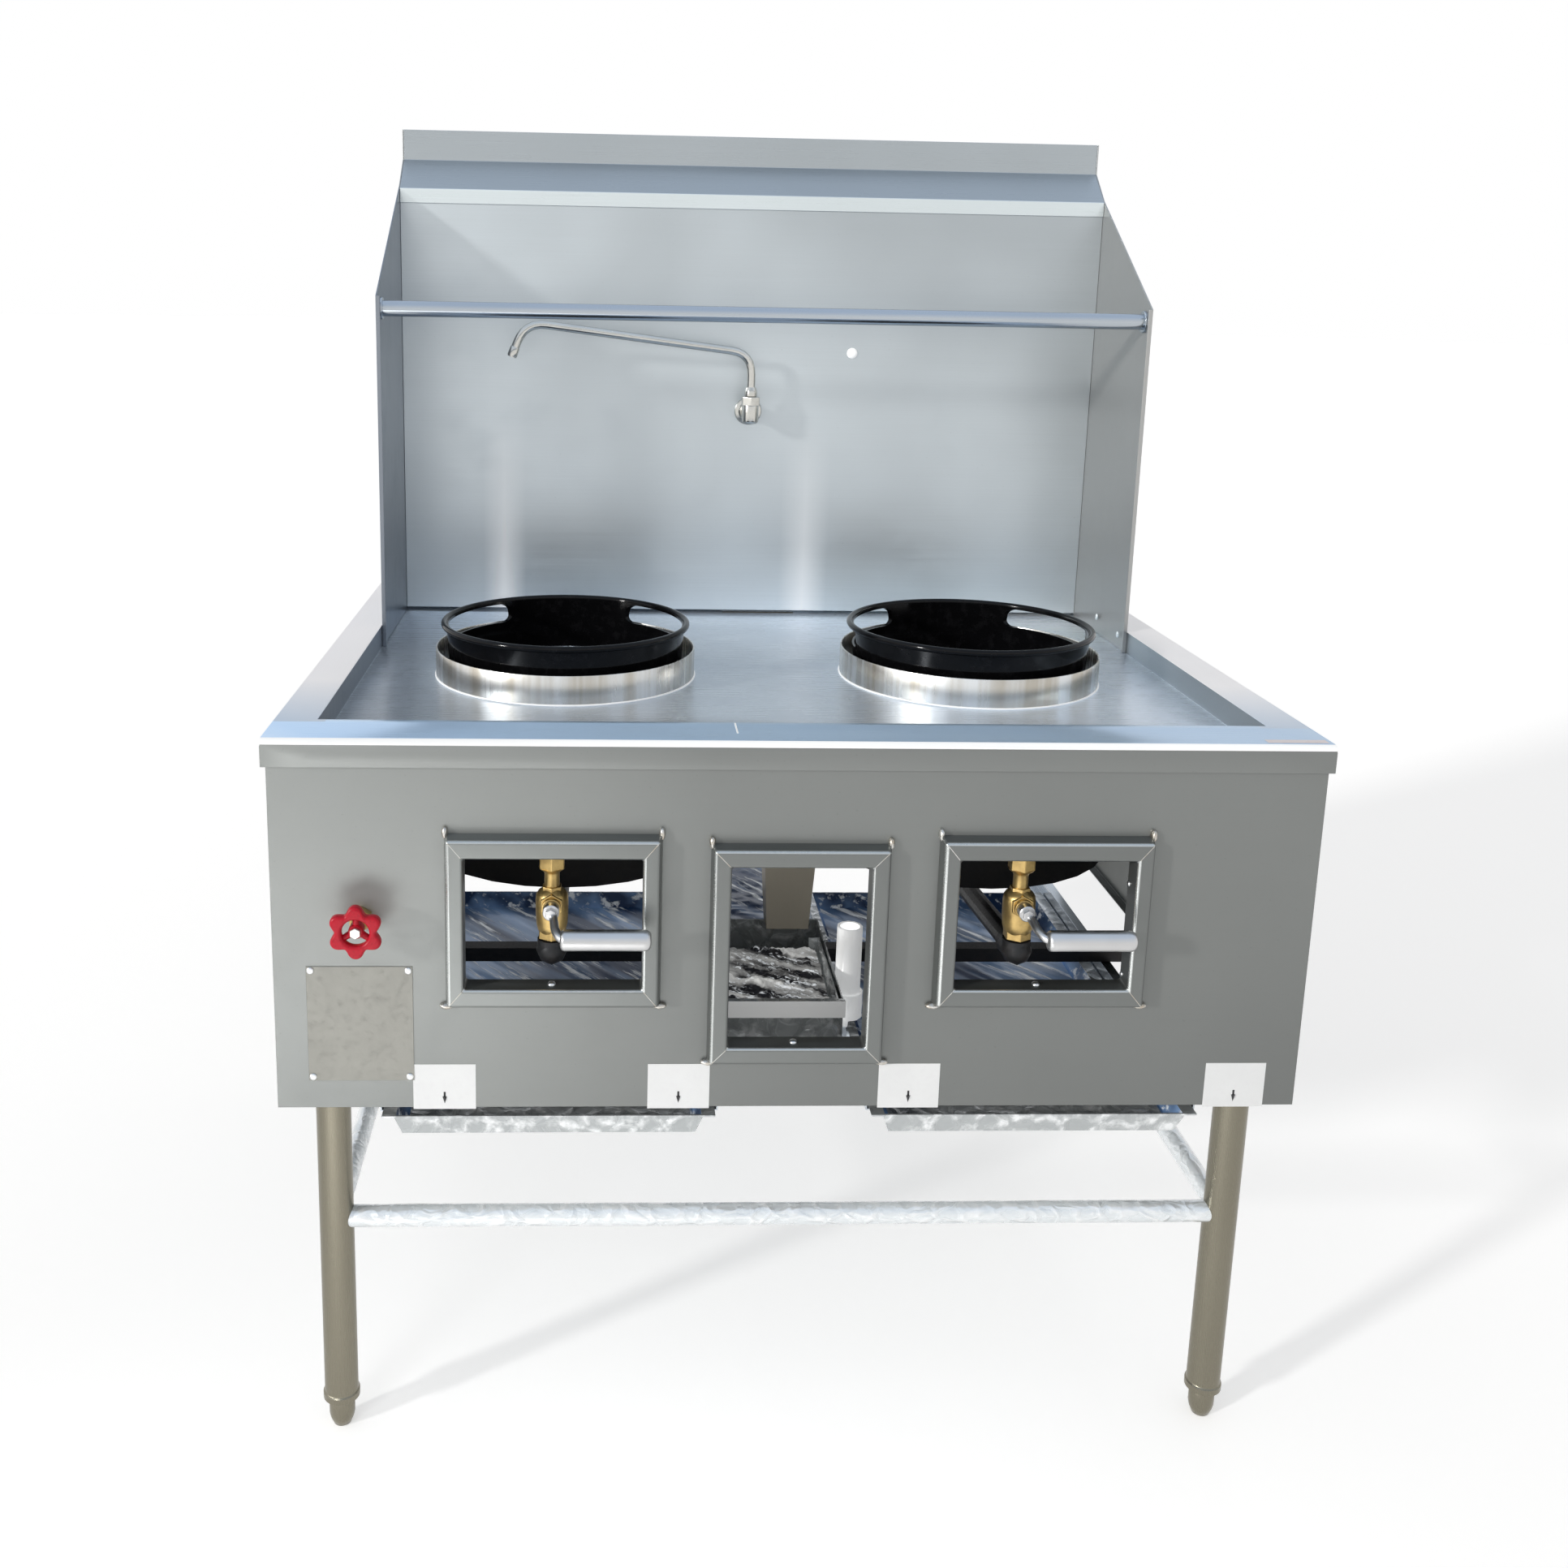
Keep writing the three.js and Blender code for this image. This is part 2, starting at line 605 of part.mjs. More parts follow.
// Six-lobed cast wheel on three spokes, with its stem and nut.
function waterWheel() {
  const { x, stemZ: z } = water;
  const lobes = new THREE.Shape();
  const steps = 30;
  for (let i = 0; i < steps; i += 1) {
    const angle = (2 * Math.PI * i) / steps;
    const radius = handwheel.radius + handwheel.lobe * Math.cos(handwheel.lobes * (angle - Math.PI / 2));
    const point = [radius * Math.cos(angle), radius * Math.sin(angle)];
    if (i === 0) lobes.moveTo(...point);
    else lobes.lineTo(...point);
  }
  const hole = new THREE.Path();
  hole.absarc(0, 0, handwheel.hole, 0, 2 * Math.PI);
  lobes.holes.push(hole);
  const { back, front, bevel, spoke, hub, nut } = handwheel;
  const rimPiece = new THREE.ExtrudeGeometry(lobes, {
    depth: back - front - 2 * bevel,
    bevelThickness: bevel,
    bevelSize: bevel,
    bevelOffset: -bevel,
    bevelSegments: 1,
    curveSegments: 8,
  }).rotateX(Math.PI / 2).translate(x, back - bevel, z);
  const spokes = [90, 210, 330].map((degrees) => {
    const angle = THREE.MathUtils.degToRad(degrees);
    const reach = handwheel.hole + bevel;
    const end = [x + reach * Math.cos(angle), back - bevel, z + reach * Math.sin(angle)];
    return bar([x, back + bevel, z], end, spoke, 8);
  });
  return join(
    rimPiece,
    ...spokes,
    bar([x, handwheel.hubBack, z], [x, handwheel.hubFront, z], hub, 14),
    bar([x, water.stemFront - gap, z], [x, back, z], handwheel.stem, 10),
    bar([x, handwheel.hubFront, z], [x, handwheel.nutFront, z], nut, 6),
  );
}

function supplyPipe() {
  const { x, y, supplyZ, stemZ } = water;
  return pipeRun([
    [x, manifoldPipe.inletEnd, supplyZ], [x, y, supplyZ], [x, y, stemZ - water.bodyHalf - gap],
  ], water.pipe, water.elbow);
}

function faucetPipe() {
  const { x, y, stemZ, riseZ, flueY } = water;
  return pipeRun([
    [x, y, stemZ + water.bodyHalf + gap], [x, y, riseZ], [x, flueY, riseZ], [x, flueY, faucet.z],
    [faucet.x, flueY, faucet.z], [faucet.x, overall.splashFace + faucet.shankBack + gap, faucet.z],
  ], water.pipe, water.elbow);
}

// ---- wells, burners and gas ----

function collarRing(x) {
  const low = deckFloor + gap;
  const high = deckFloor + collar.height;
  const inner = collar.outer - collar.wall;
  const wall = [[inner, low], [collar.outer, low], [collar.outer, high], [inner, high]];
  return turnedRing(wall, 32, x, chamber.y);
}

// Band with a wide tab at the front and back, a window at each side, and a wire hoop on top.
function wokRingPiece(x) {
  const low = deckFloor + gap;
  const high = deckFloor + wokRing.hoopRise;
  const band = turnedRing([
    [wokRing.bandBottom - wokRing.wall, low], [wokRing.bandBottom, low],
    [wokRing.bandTop, high], [wokRing.bandTop - wokRing.wall, high],
  ], 32, x, chamber.y);
  const { windowHalf, windowCorner: corner } = wokRing;
  const sill = deckFloor + wokRing.windowBottom + corner;
  const head = deckFloor + wokRing.windowTop - corner;
  const rear = chamber.y + windowHalf - corner;
  const front = chamber.y - windowHalf + corner;
  const opening = new THREE.Shape();
  opening.absarc(rear, sill, corner, -Math.PI / 2, 0);
  opening.absarc(rear, head, corner, 0, Math.PI / 2);
  opening.absarc(front, head, corner, Math.PI / 2, Math.PI);
  opening.absarc(front, sill, corner, Math.PI, 1.5 * Math.PI);
  const reach = wokRing.bandTop + wokRing.wall;
  const cuts = [-1, 1].map((sign) => alongX(opening, span(x + sign * reach, x + sign * corner), 2));
  const hoop = new THREE.TorusGeometry(wokRing.hoop, wokRing.hoopWire, 6, 32).translate(x, chamber.y, high);
  return join(cut(band, ...cuts), hoop);
}

function chamberDrum(x, valveX) {
  const top = deckFloor - sheet - gap;
  const floor = chamber.bottom + chamber.floor;
  const drum = turnedRing([
    [chamber.airHole, chamber.bottom], [chamber.outer, chamber.bottom], [chamber.outer, top],
    [chamber.inner, top], [chamber.inner, floor], [chamber.airHole, floor],
  ], 28, x, chamber.y);
  const reach = chamber.outer + pipeClearance;
  const inlet = bar(
    [valveX, chamber.y - reach, burner.z], [valveX, chamber.y - reach / 2, burner.z],
    gasPipe.radius + pipeClearance, 12,
  );
  return cut(drum, inlet);
}

// Cast head with rings of upright jets, on the pipe that feeds it from the valve.
function jetBurner(x, valveX) {
  const low = burner.z - burner.headHeight / 2;
  const high = burner.z + burner.headHeight / 2;
  const { head: radius, headChamfer: chamfer, jet, jetTip, jetHeight } = burner;
  const headPiece = turned([
    [0, low], [radius - 2 * chamfer, low], [radius, low + chamfer], [radius, high - chamfer / 3],
    [radius - chamfer / 3, high], [0, high],
  ], 20, x, chamber.y);
  const jetAt = (jetX, jetY) => bar([jetX, jetY, high - 2], [jetX, jetY, high + jetHeight], jet, 6, jetTip);
  const ringJets = burner.rings.flatMap(([ring, count]) => Array.from({ length: count }, (_, i) => {
    const angle = (2 * Math.PI * i) / count;
    return jetAt(x + ring * Math.cos(angle), chamber.y + ring * Math.sin(angle));
  }));
  const feed = pipeRun([
    [valveX, gasValve.y, gasValve.top + gap],
    [valveX, gasValve.y, burner.z],
    [valveX, chamber.y - radius / 2, burner.z],
  ], gasPipe.radius, gasPipe.collar);
  const overValve = block(
    [valveX - gasPipe.elbow, valveX + gasPipe.elbow],
    [gasValve.y - gasPipe.elbow, gasValve.y + gasPipe.elbow],
    [gasValve.top - gasPipe.elbow, gasValve.top + gap],
  );
  return join(cut(feed, overValve), headPiece, jetAt(x, chamber.y), ...ringJets);
}

function valveBody(x) {
  const { y, stemZ, bottom, top } = gasValve;
  const body = turned([
    [0, bottom], [14, bottom], [15, bottom + 8], [20, bottom + 16], [22, stemZ - 8], [22, stemZ + 8],
    [18, stemZ + 24], [13, stemZ + 32], [13, stemZ + 42], [18, stemZ + 46], [19, top], [0, top],
  ], 14, x, y);
  return join(
    body,
    bar([x, y, stemZ], [x, gasValve.nutFront, stemZ], gasValve.nut, 6),
    bar([x, y, stemZ], [x, gasValve.stemFront, stemZ], gasValve.stem, 12),
  );
}

// Crank from the valve stem out past the frame, with a round grip.
function valveLever(x) {
  const { stemZ } = gasValve;
  const gripZ = stemZ - lever.drop;
  const hub = bar([x, gasValve.stemFront - gap, stemZ], [x, lever.hubFront, stemZ], lever.hub, 14);
  const nut = bar([x, lever.hubFront, stemZ], [x, lever.nutFront, stemZ], lever.nut, 6);
  const crank = tubeAlong(new THREE.CatmullRomCurve3([
    new THREE.Vector3(x + 2, 2, stemZ - 2),
    new THREE.Vector3(x + 5, -16, stemZ - 7),
    new THREE.Vector3(x + 8, -34, stemZ - 12),
    new THREE.Vector3(x + lever.gripStart + 8, lever.gripY, gripZ),
    new THREE.Vector3(x + lever.gripStart + 30, lever.gripY, gripZ),
  ]), lever.rod, 8, 12);
  const length = lever.gripEnd - lever.gripStart;
  const grip = turned([
    [0, 0], [lever.gripRadius - 4, 0], [lever.gripRadius, 4], [lever.gripRadius, length - 5],
    [lever.gripRadius - 5, length], [0, length],
  ], 16).rotateY(Math.PI / 2).translate(x + lever.gripStart, lever.gripY, gripZ);
  return join(hub, nut, crank, grip);
}

function supplyElbow(x) {
  const { y, bottom } = gasValve;
  const { radius, elbow, elbowZ } = gasPipe;
  const [reachY, reachZ] = gasPipe.collarReach;
  const pipe = join(
    bar([x, y, elbowZ], [x, manifoldPipe.y, manifoldPipe.z], radius, 12),
    ball([x, y, elbowZ], elbow),
    bar([x, y, elbowZ], [x, y, bottom + 4], gasPipe.collar, 12),
    bar([x, y, elbowZ], [x, y + reachY, elbowZ + reachZ], gasPipe.collar, 12),
  );
  const underValve = block([x - elbow, x + elbow], [y - elbow, y + elbow], [bottom - gap, bottom + elbow]);
  const cope = bar(
    [x - 2 * elbow, manifoldPipe.y, manifoldPipe.z], [x + 2 * elbow, manifoldPipe.y, manifoldPipe.z],
    manifoldPipe.radius + gap, 16,
  );
  return cut(pipe, underValve, cope);
}

function gasManifold() {
  const { radius, y, z, left, right, inletEnd, wall } = manifoldPipe;
  const run = join(
    pipeRun([[left, y, z], [right, y, z], [right, inletEnd, z]], radius, radius + 2 * wall),
    bar([left - wall, y, z], [left + radius, y, z], radius + wall, 14),
  );
  return cut(run, bar([right, inletEnd - 4 * radius, z], [right, inletEnd + 2, z], radius - wall, 12));
}

// ---- waste ----

// Duct from the gutter, forward between the chambers and down over the strainer.
function drainChute() {
  const loopOf = ({ x: [x0, x1], front, back }, inset, shift) => {
    const reach = Math.hypot(back[0] - front[0], back[1] - front[1]);
    const t = inset / reach;
    const near = front.map((value, i) => value + (back[i] - value) * t);
    const far = back.map((value, i) => value + (front[i] - value) * t);
    return [
      [x0 + inset, near[0], near[1] + shift], [x1 - inset, near[0], near[1] + shift],
      [x1 - inset, far[0], far[1] + shift], [x0 + inset, far[0], far[1] + shift],
    ];
  };
  const { stations, through } = chute;
  const last = stations.length - 1;
  const endShift = (i) => (i === 0 ? through : 0) - (i === last ? through : 0);
  const outer = loft(stations.map((station) => loopOf(station, 0, 0)));
  const inner = loft(stations.map((station, i) => loopOf(station, chute.wall, endShift(i))));
  return cut(outer, inner);
}

// Catch box with a deep front lip, on two carrier bars that lie across the rails.
function strainerBox() {
  const { x: [x0, x1], y: [y0, y1], top, bottom, lip, lipDepth } = strainer;
  const shell = block([x0, x1], [y0, y1], [bottom, top]);
  const hollow = block([x0 + sheet, x1 - sheet], [y0 + sheet, y1 - sheet], [bottom + sheet, top + 1]);
  const frontLip = block([x0 - lipDepth, x1 + sheet], [y0 - lipDepth, y0], [top - lip, top]);
  const barZ = [railBottom + rail.height + gap, bottom + 1];
  const barY = [railFronts.front, railFronts.middle + rail.depth];
  const carriers = [x0 + 4 * sheet, x1 - 6 * sheet].map((x) => block([x, x + 2 * sheet], barY, barZ));
  const branchNotch = bar(
    [drain.x, drain.y, drain.z], [x1 + drain.radius, drain.y, drain.z], drain.radius + gap, 16,
  );
  const outletHole = bar(
    [drain.x, drain.y, bottom - sheet], [drain.x, drain.y, bottom + 2 * sheet], drain.bore, 12,
  );
  return cut(join(cut(shell, hollow), frontLip, ...carriers), branchNotch, outletHole);
}

function strainerBasket() {
  const { x: [x0, x1], y: [y0], top, bottom, basketBack, basketSide: side, basketTaper: taper } = strainer;
  const loopAt = (inset, z) => [
    [x0 + side + inset, y0 + side + inset, z], [x1 - side - inset, y0 + side + inset, z],
    [x1 - side - inset, basketBack - inset, z], [x0 + side + inset, basketBack - inset, z],
  ];
  const low = bottom + sheet + gap;
  const pan = cut(
    loft([loopAt(taper, low), loopAt(0, top - sheet)]),
    loft([loopAt(taper + sheet, low + sheet), loopAt(sheet, top)]),
  );
  const mouth = block(
    [x0 + strainer.mouthInset, x1 - strainer.mouthInset],
    [basketBack - 2 * taper, basketBack + 1],
    [top - strainer.mouthDepth, top],
  );
  return cut(pan, mouth);
}

// Waste pipe: open drop below the box, and a branch up to the standpipe beside it.
function drainPipe() {
  const { x, y, z, radius, bore, outlet, standX, standTop } = drain;
  const top = strainer.bottom - gap;
  const solid = join(
    bar([x, y, outlet], [x, y, top], radius, 12),
    bar([x, y, z], [standX, y, z], radius, 12),
    bar([standX, y, z], [standX, y, standTop], radius, 12),
    bar([standX, y, z], [standX, y, z + drain.socketHeight], radius + drain.socket, 12),
  );
  return cut(
    solid,
    bar([x, y, outlet - 2], [x, y, top + 2], bore, 12),
    bar([x, y, z], [standX, y, z], bore, 12),
    bar([standX, y, z], [standX, y, standTop + 2], bore, 12),
  );
}

// ---- assembly ----

addPiece('top_deck', topDeck(), 'brushedSteel');
addPiece('front_panel', frontPanel(), 'brushedSteel');
addPiece('rear_panel', rearPanel(), 'galvanised');
windows.forEach((opening) => addPiece(`window_frame_${opening.name}`, framePiece(opening), 'brushedSteel'));

const legRows = [['front', leg.insetY], ['rear', rearLegY]];
sides.forEach(([side, sign]) => {
  addPiece(`side_panel_${side}`, sidePanel(sign), 'brushedSteel');
  addPiece(`splash_side_${side}`, splashWing(sign), 'brushedSteel');
  legRows.forEach(([row, y]) => {
    addPiece(`leg_${row}_${side}`, legTube(sign * leg.x, y), 'tubeSteel');
    addPiece(`foot_${row}_${side}`, bulletFoot(sign * leg.x, y), 'tubeSteel');
  });
  const ends = legRows.map(([, y]) => [sign * leg.x, y]);
  addPiece(`stretcher_${side}`, legStretcher(...ends), 'galvanised');
});
legRows.forEach(([row, y]) => {
  addPiece(`stretcher_${row}`, legStretcher([-leg.x, y], [leg.x, y]), 'galvanised');
});
Object.entries(railFronts).forEach(([row, y]) => {
  addPiece(`chassis_rail_${row}`, chassisRail(y), 'blackIron');
});

sides.forEach(([side, sign], i) => {
  const x = tray.x[i];
  addPiece(`drip_tray_${side}`, dripTray(x), 'galvanised');
  addPiece(`tray_runner_${side}_outer`, trayRunner(x, sign), 'galvanised');
  addPiece(`tray_runner_${side}_inner`, trayRunner(x, -sign), 'galvanised');
});

addPiece('splash_back', splashBack(), 'brushedSteel');
addPiece('flue_casing', flueCasing(), 'brushedSteel');
addPiece('flue_cap', flueCap(), 'brushedSteel');
addPiece('pot_rail', potRailTube(), 'nickel');
addPiece('faucet_body', faucetBody(), 'nickel');
addPiece('faucet_spout', faucetSpout(), 'nickel');
addPiece('water_valve', waterValve(), 'brass');
addPiece('handwheel', waterWheel(), 'redPaint');
addPiece('water_supply_pipe', supplyPipe(), 'nickel');
addPiece('faucet_pipe', faucetPipe(), 'nickel');

sides.forEach(([side, sign], i) => {
  const x = sign * chamber.spacing;
  const valveX = gasValve.x[i];
  addPiece(`collar_${side}`, collarRing(x), 'brushedSteel');
  addPiece(`wok_ring_${side}`, wokRingPiece(x), 'blackEnamel');
  addPiece(`chamber_${side}`, chamberDrum(x, valveX), 'castIron');
  addPiece(`burner_${side}`, jetBurner(x, valveX), 'castIron');
  addPiece(`gas_valve_${side}`, valveBody(valveX), 'brass');
  addPiece(`gas_lever_${side}`, valveLever(valveX), 'nickel');
  addPiece(`gas_pipe_${side}`, supplyElbow(valveX), 'blackIron');
});
addPiece('gas_manifold', gasManifold(), 'blackIron');

addPiece('drain_chute', drainChute(), 'chuteSteel');
addPiece('strainer_box', strainerBox(), 'galvanised');
addPiece('strainer_basket', strainerBasket(), 'galvanised');
addPiece('drain_pipe', drainPipe(), 'whitePlastic');

// Origin on the floor, under the middle of the depth from the lever grips to the pipe ends.
const frontmost = lever.gripY - lever.gripRadius;
range.position.y = -(frontmost + manifoldPipe.inletEnd) / 2;

export default range;
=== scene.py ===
import bpy
import math
from mathutils import Matrix, Vector


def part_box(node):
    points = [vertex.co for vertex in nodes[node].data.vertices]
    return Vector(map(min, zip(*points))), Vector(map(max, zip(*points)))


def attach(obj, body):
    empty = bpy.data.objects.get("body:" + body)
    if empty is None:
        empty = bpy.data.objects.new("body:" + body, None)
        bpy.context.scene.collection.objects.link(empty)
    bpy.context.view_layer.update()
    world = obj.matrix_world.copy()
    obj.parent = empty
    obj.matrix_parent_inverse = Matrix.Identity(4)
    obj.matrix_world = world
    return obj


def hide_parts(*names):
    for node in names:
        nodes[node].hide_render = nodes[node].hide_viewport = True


# Wok range: looks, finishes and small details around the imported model. Metres in Blender.
# Places are given in millimetres from the centre line, the rim's front face and the floor.

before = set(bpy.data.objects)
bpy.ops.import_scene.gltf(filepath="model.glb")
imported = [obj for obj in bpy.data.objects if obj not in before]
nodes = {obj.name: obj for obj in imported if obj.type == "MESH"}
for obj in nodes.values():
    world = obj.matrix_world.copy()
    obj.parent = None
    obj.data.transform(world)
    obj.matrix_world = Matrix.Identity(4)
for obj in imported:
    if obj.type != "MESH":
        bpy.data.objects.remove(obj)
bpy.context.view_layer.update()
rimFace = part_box("top_deck")[0].y
upright = Vector((0, 0, 1))
toFront = Vector((0, -1, 0))


def at(x, y, z):
    return Vector((x / 1000, rimFace + y / 1000, z / 1000))


def mm(value):
    return value / 1000


# ---- camera ----
print("camera")
cameraView = {
    "place": (-221.7, -1635.2, 1404.0),
    "yaw": -2.355,
    "pitch": 11.766,
    "roll": 1.075,
    "focalPixels": 1875.3,
    "centre": (827.5, 744.6),
    "imageSize": 1932,
}


def makeCamera():
    yaw = math.radians(cameraView["yaw"])
    pitch = math.radians(cameraView["pitch"])
    roll = math.radians(cameraView["roll"])
    turn = Matrix.Rotation(yaw, 3, "Z")
    forward = turn @ Vector((0, math.cos(pitch), -math.sin(pitch)))
    flatRight = turn @ Vector((1, 0, 0))
    flatUp = flatRight.cross(forward)
    right = math.cos(roll) * flatRight + math.sin(roll) * flatUp
    up = -math.sin(roll) * flatRight + math.cos(roll) * flatUp
    data = bpy.data.cameras.new("camera")
    data.sensor_width = 36
    size = cameraView["imageSize"]
    data.lens = cameraView["focalPixels"] * data.sensor_width / size
    data.shift_x = (size / 2 - cameraView["centre"][0]) / size
    data.shift_y = (cameraView["centre"][1] - size / 2) / size
    camera = bpy.data.objects.new("camera", data)
    columns = Matrix((right, up, -forward)).transposed()
    camera.matrix_world = Matrix.Translation(at(*cameraView["place"])) @ columns.to_4x4()
    bpy.context.scene.collection.objects.link(camera)
    bpy.context.scene.camera = camera


makeCamera()


# ---- object helpers ----
def deselectAll():
    if bpy.context.object and bpy.context.object.mode != "OBJECT":
        bpy.ops.object.mode_set(mode="OBJECT")
    bpy.ops.object.select_all(action="DESELECT")


def activate(piece):
    deselectAll()
    piece.select_set(True)
    bpy.context.view_layer.objects.active = piece


def editAll(piece):
    activate(piece)
    bpy.ops.object.mode_set(mode="EDIT")
    bpy.ops.mesh.select_all(action="SELECT")


def backToObject():
    bpy.ops.object.mode_set(mode="OBJECT")


def extrudeBy(offset):
    bpy.ops.mesh.extrude_region_move(TRANSFORM_OT_translate={"value": offset})


# Ends an edit with all faces turned outwards.
def turnFacesOut():
    bpy.ops.mesh.select_all(action="SELECT")
    bpy.ops.mesh.normals_make_consistent(inside=False)
    backToObject()


# Cuts a piece along a plane; clear drops what lies beyond it.
def cutBy(piece, point, normal, clear=False):
    editAll(piece)
    bpy.ops.mesh.bisect(plane_co=point, plane_no=normal, clear_outer=clear)
    backToObject()


def applyPlace(piece):
    activate(piece)
    bpy.ops.object.transform_apply(location=True, rotation=True, scale=True)


def applyModifiers(piece):
    activate(piece)
    for modifier in list(piece.modifiers):
        bpy.ops.object.modifier_apply(modifier=modifier.name)


def joinPieces(name, pieces):
    deselectAll()
    for piece in pieces:
        piece.select_set(True)
    bpy.context.view_layer.objects.active = pieces[0]
    bpy.ops.object.join()
    pieces[0].name = name
    pieces[0].data.name = name
    return pieces[0]


# Adds one of Blender's own shapes under a name.
def addShape(operator, name, **values):
    deselectAll()
    operator(**values)
    piece = bpy.context.object
    piece.name = name
    return piece


def smooth(piece, degrees=35):
    activate(piece)
    bpy.ops.object.shade_smooth_by_angle(angle=math.radians(degrees))


# Keeps large faces flat beside their eased edges.
def steadyNormals(piece):
    weighted = piece.modifiers.new("normals", "WEIGHTED_NORMAL")
    weighted.keep_sharp = True
    weighted.weight = 100
    applyModifiers(piece)


def roundEdges(piece, width, segments=2, degrees=30):
    bevel = piece.modifiers.new("edges", "BEVEL")
    bevel.width = mm(width)
    bevel.segments = segments
    bevel.limit_method = "ANGLE"
    bevel.angle_limit = math.radians(degrees)
    applyModifiers(piece)
    smooth(piece, 50)
    steadyNormals(piece)


# A copy of a CAD node with its corners merged, its edges eased and its round faces smooth.
def softCopy(node, ease=0.7, segments=2, degrees=30):
    piece = nodes[node].copy()
    piece.data = nodes[node].data.copy()
    for key in list(piece.keys()):
        del piece[key]
    piece.parent = None
    piece.matrix_world = Matrix.Identity(4)
    piece.name = node + "_skin"
    bpy.context.scene.collection.objects.link(piece)
    piece.data.materials.clear()
    editAll(piece)
    bpy.ops.mesh.remove_doubles(threshold=0.00001)
    bpy.ops.mesh.dissolve_limited(angle_limit=math.radians(1))
    backToObject()
    if ease:
        roundEdges(piece, ease, segments, degrees)
    else:
        smooth(piece, degrees)
    return piece


def settle(piece, slot, look, *replaced, body="range_body"):
    piece.data.materials.clear()
    piece.data.materials.append(finish[look])
    place(piece, body, slot, *replaced)


# Gives a piece several finishes; pick returns the place in the list that a face takes.
def paintFaces(piece, looks, pick):
    for look in looks:
        piece.data.materials.append(finish[look])
    for face in piece.data.polygons:
        face.material_index = int(pick(face))


def place(piece, body, slot, *replaced):
    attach(piece, body)
    if replaced:
        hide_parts(*replaced)


# Turns a piece's own +Z to run along the given direction.
def aim(piece, direction, origin):
    piece.matrix_world = Matrix.Translation(origin) @ direction.to_track_quat("Z", "Y").to_matrix().to_4x4()
    applyPlace(piece)


# A round bar between two points, with eased ends.
def roundBar(name, start, end, radius, ease=0.6, vertices=40, tipRadius=None):
    span = end - start
    piece = addShape(
        bpy.ops.mesh.primitive_cone_add, name, vertices=vertices, radius1=mm(radius),
        radius2=mm(tipRadius or radius), depth=span.length, location=(0, 0, span.length / 2),
    )
    applyPlace(piece)
    if ease:
        roundEdges(piece, ease, 2, 40)
    else:
        smooth(piece)
    aim(piece, span, start)
    return piece


# A profile of (radius, height) points turned about an axis; heights run along direction.
def turnedPiece(name, profile, origin, direction=upright, steps=56, closed=False):
    points = [Vector((mm(radius), 0, mm(height))) for radius, height in profile]
    piece = addShape(bpy.ops.mesh.primitive_plane_add, name, size=0.001, location=points[0])
    applyPlace(piece)
    editAll(piece)
    bpy.ops.mesh.merge(type="CENTER")
    for before, after in zip(points, points[1:] + (points[:1] if closed else [])):
        extrudeBy(after - before)
    bpy.ops.mesh.select_all(action="SELECT")
    bpy.ops.mesh.spin(steps=steps, angle=2 * math.pi, center=(0, 0, 0), axis=(0, 0, 1))
    bpy.ops.mesh.select_all(action="SELECT")
    bpy.ops.mesh.remove_doubles(threshold=0.00001)
    turnFacesOut()
    smooth(piece, 38)
    aim(piece, direction, origin)
    return piece


# A tube of one radius along a path of points, followed as it is or smoothed.
def tubeAlong(name, points, radius, sides=5, smoothness=0):
    data = bpy.data.curves.new(name, "CURVE")
    data.dimensions = "3D"
    data.bevel_depth = mm(radius)
    data.bevel_resolution = sides
    data.use_fill_caps = True
    if smoothness:
        data.resolution_u = smoothness
        spline = data.splines.new("BEZIER")
        spline.bezier_points.add(len(points) - 1)
        for knot, point in zip(spline.bezier_points, points):
            knot.co = point
            knot.handle_left_type = "AUTO"
            knot.handle_right_type = "AUTO"
    else:
        spline = data.splines.new("POLY")
        spline.points.add(len(points) - 1)
        for knot, point in zip(spline.points, points):
            knot.co = (*point, 1)
    piece = bpy.data.objects.new(name, data)
    bpy.context.scene.collection.objects.link(piece)
    activate(piece)
    bpy.ops.object.convert(target="MESH")
    piece = bpy.context.object
    smooth(piece, 50)
    return piece


# Points of a path with its corners rounded by arcs.
def filletedPath(corners, bend, steps=6):
    path = [corners[0]]
    for before, corner, after in zip(corners, corners[1:], corners[2:]):
        start = corner + (before - corner).normalized() * bend
        end = corner + (after - corner).normalized() * bend
        for step in range(steps + 1):
            t = step / steps
            path.append((1 - t) ** 2 * start + 2 * t * (1 - t) * corner + t ** 2 * end)
    path.append(corners[-1])
    return path


def easedBox(name, low, high, ease=0.3, segments=2):
    piece = addShape(bpy.ops.mesh.primitive_cube_add, name, size=1, location=(low + high) / 2)
    piece.scale = high - low
    applyPlace(piece)
    roundEdges(piece, ease, segments)
    return piece


# Uneven surface of a weld or of wrapped film.
def wobble(piece, strength, scale, middle=0.5):
    cloud = bpy.data.textures.new("wobble", "CLOUDS")
    cloud.noise_scale = mm(scale)
    modifier = piece.modifiers.new("wobble", "DISPLACE")
    modifier.texture = cloud
    modifier.strength = mm(strength)
    modifier.mid_level = middle
    modifier.texture_coords = "LOCAL"
    applyModifiers(piece)


def rivet(name, origin, direction, radius, height):
    profile = [(0, 0), (radius, 0), (radius * 0.98, height * 0.35), (radius * 0.8, height * 0.75),
               (radius * 0.45, height * 0.97), (0, height)]
    return turnedPiece(name, profile, origin, direction, steps=18)


# ---- shader helpers ----
def addNode(tree, kind, **values):
    node = tree.nodes.new(kind)
    for key, value in values.items():
        setattr(node, key, value)
    return node


def feed(tree, target, source):
    if hasattr(source, "is_output"):
        tree.links.new(source, target)
    else:
        target.default_value = source


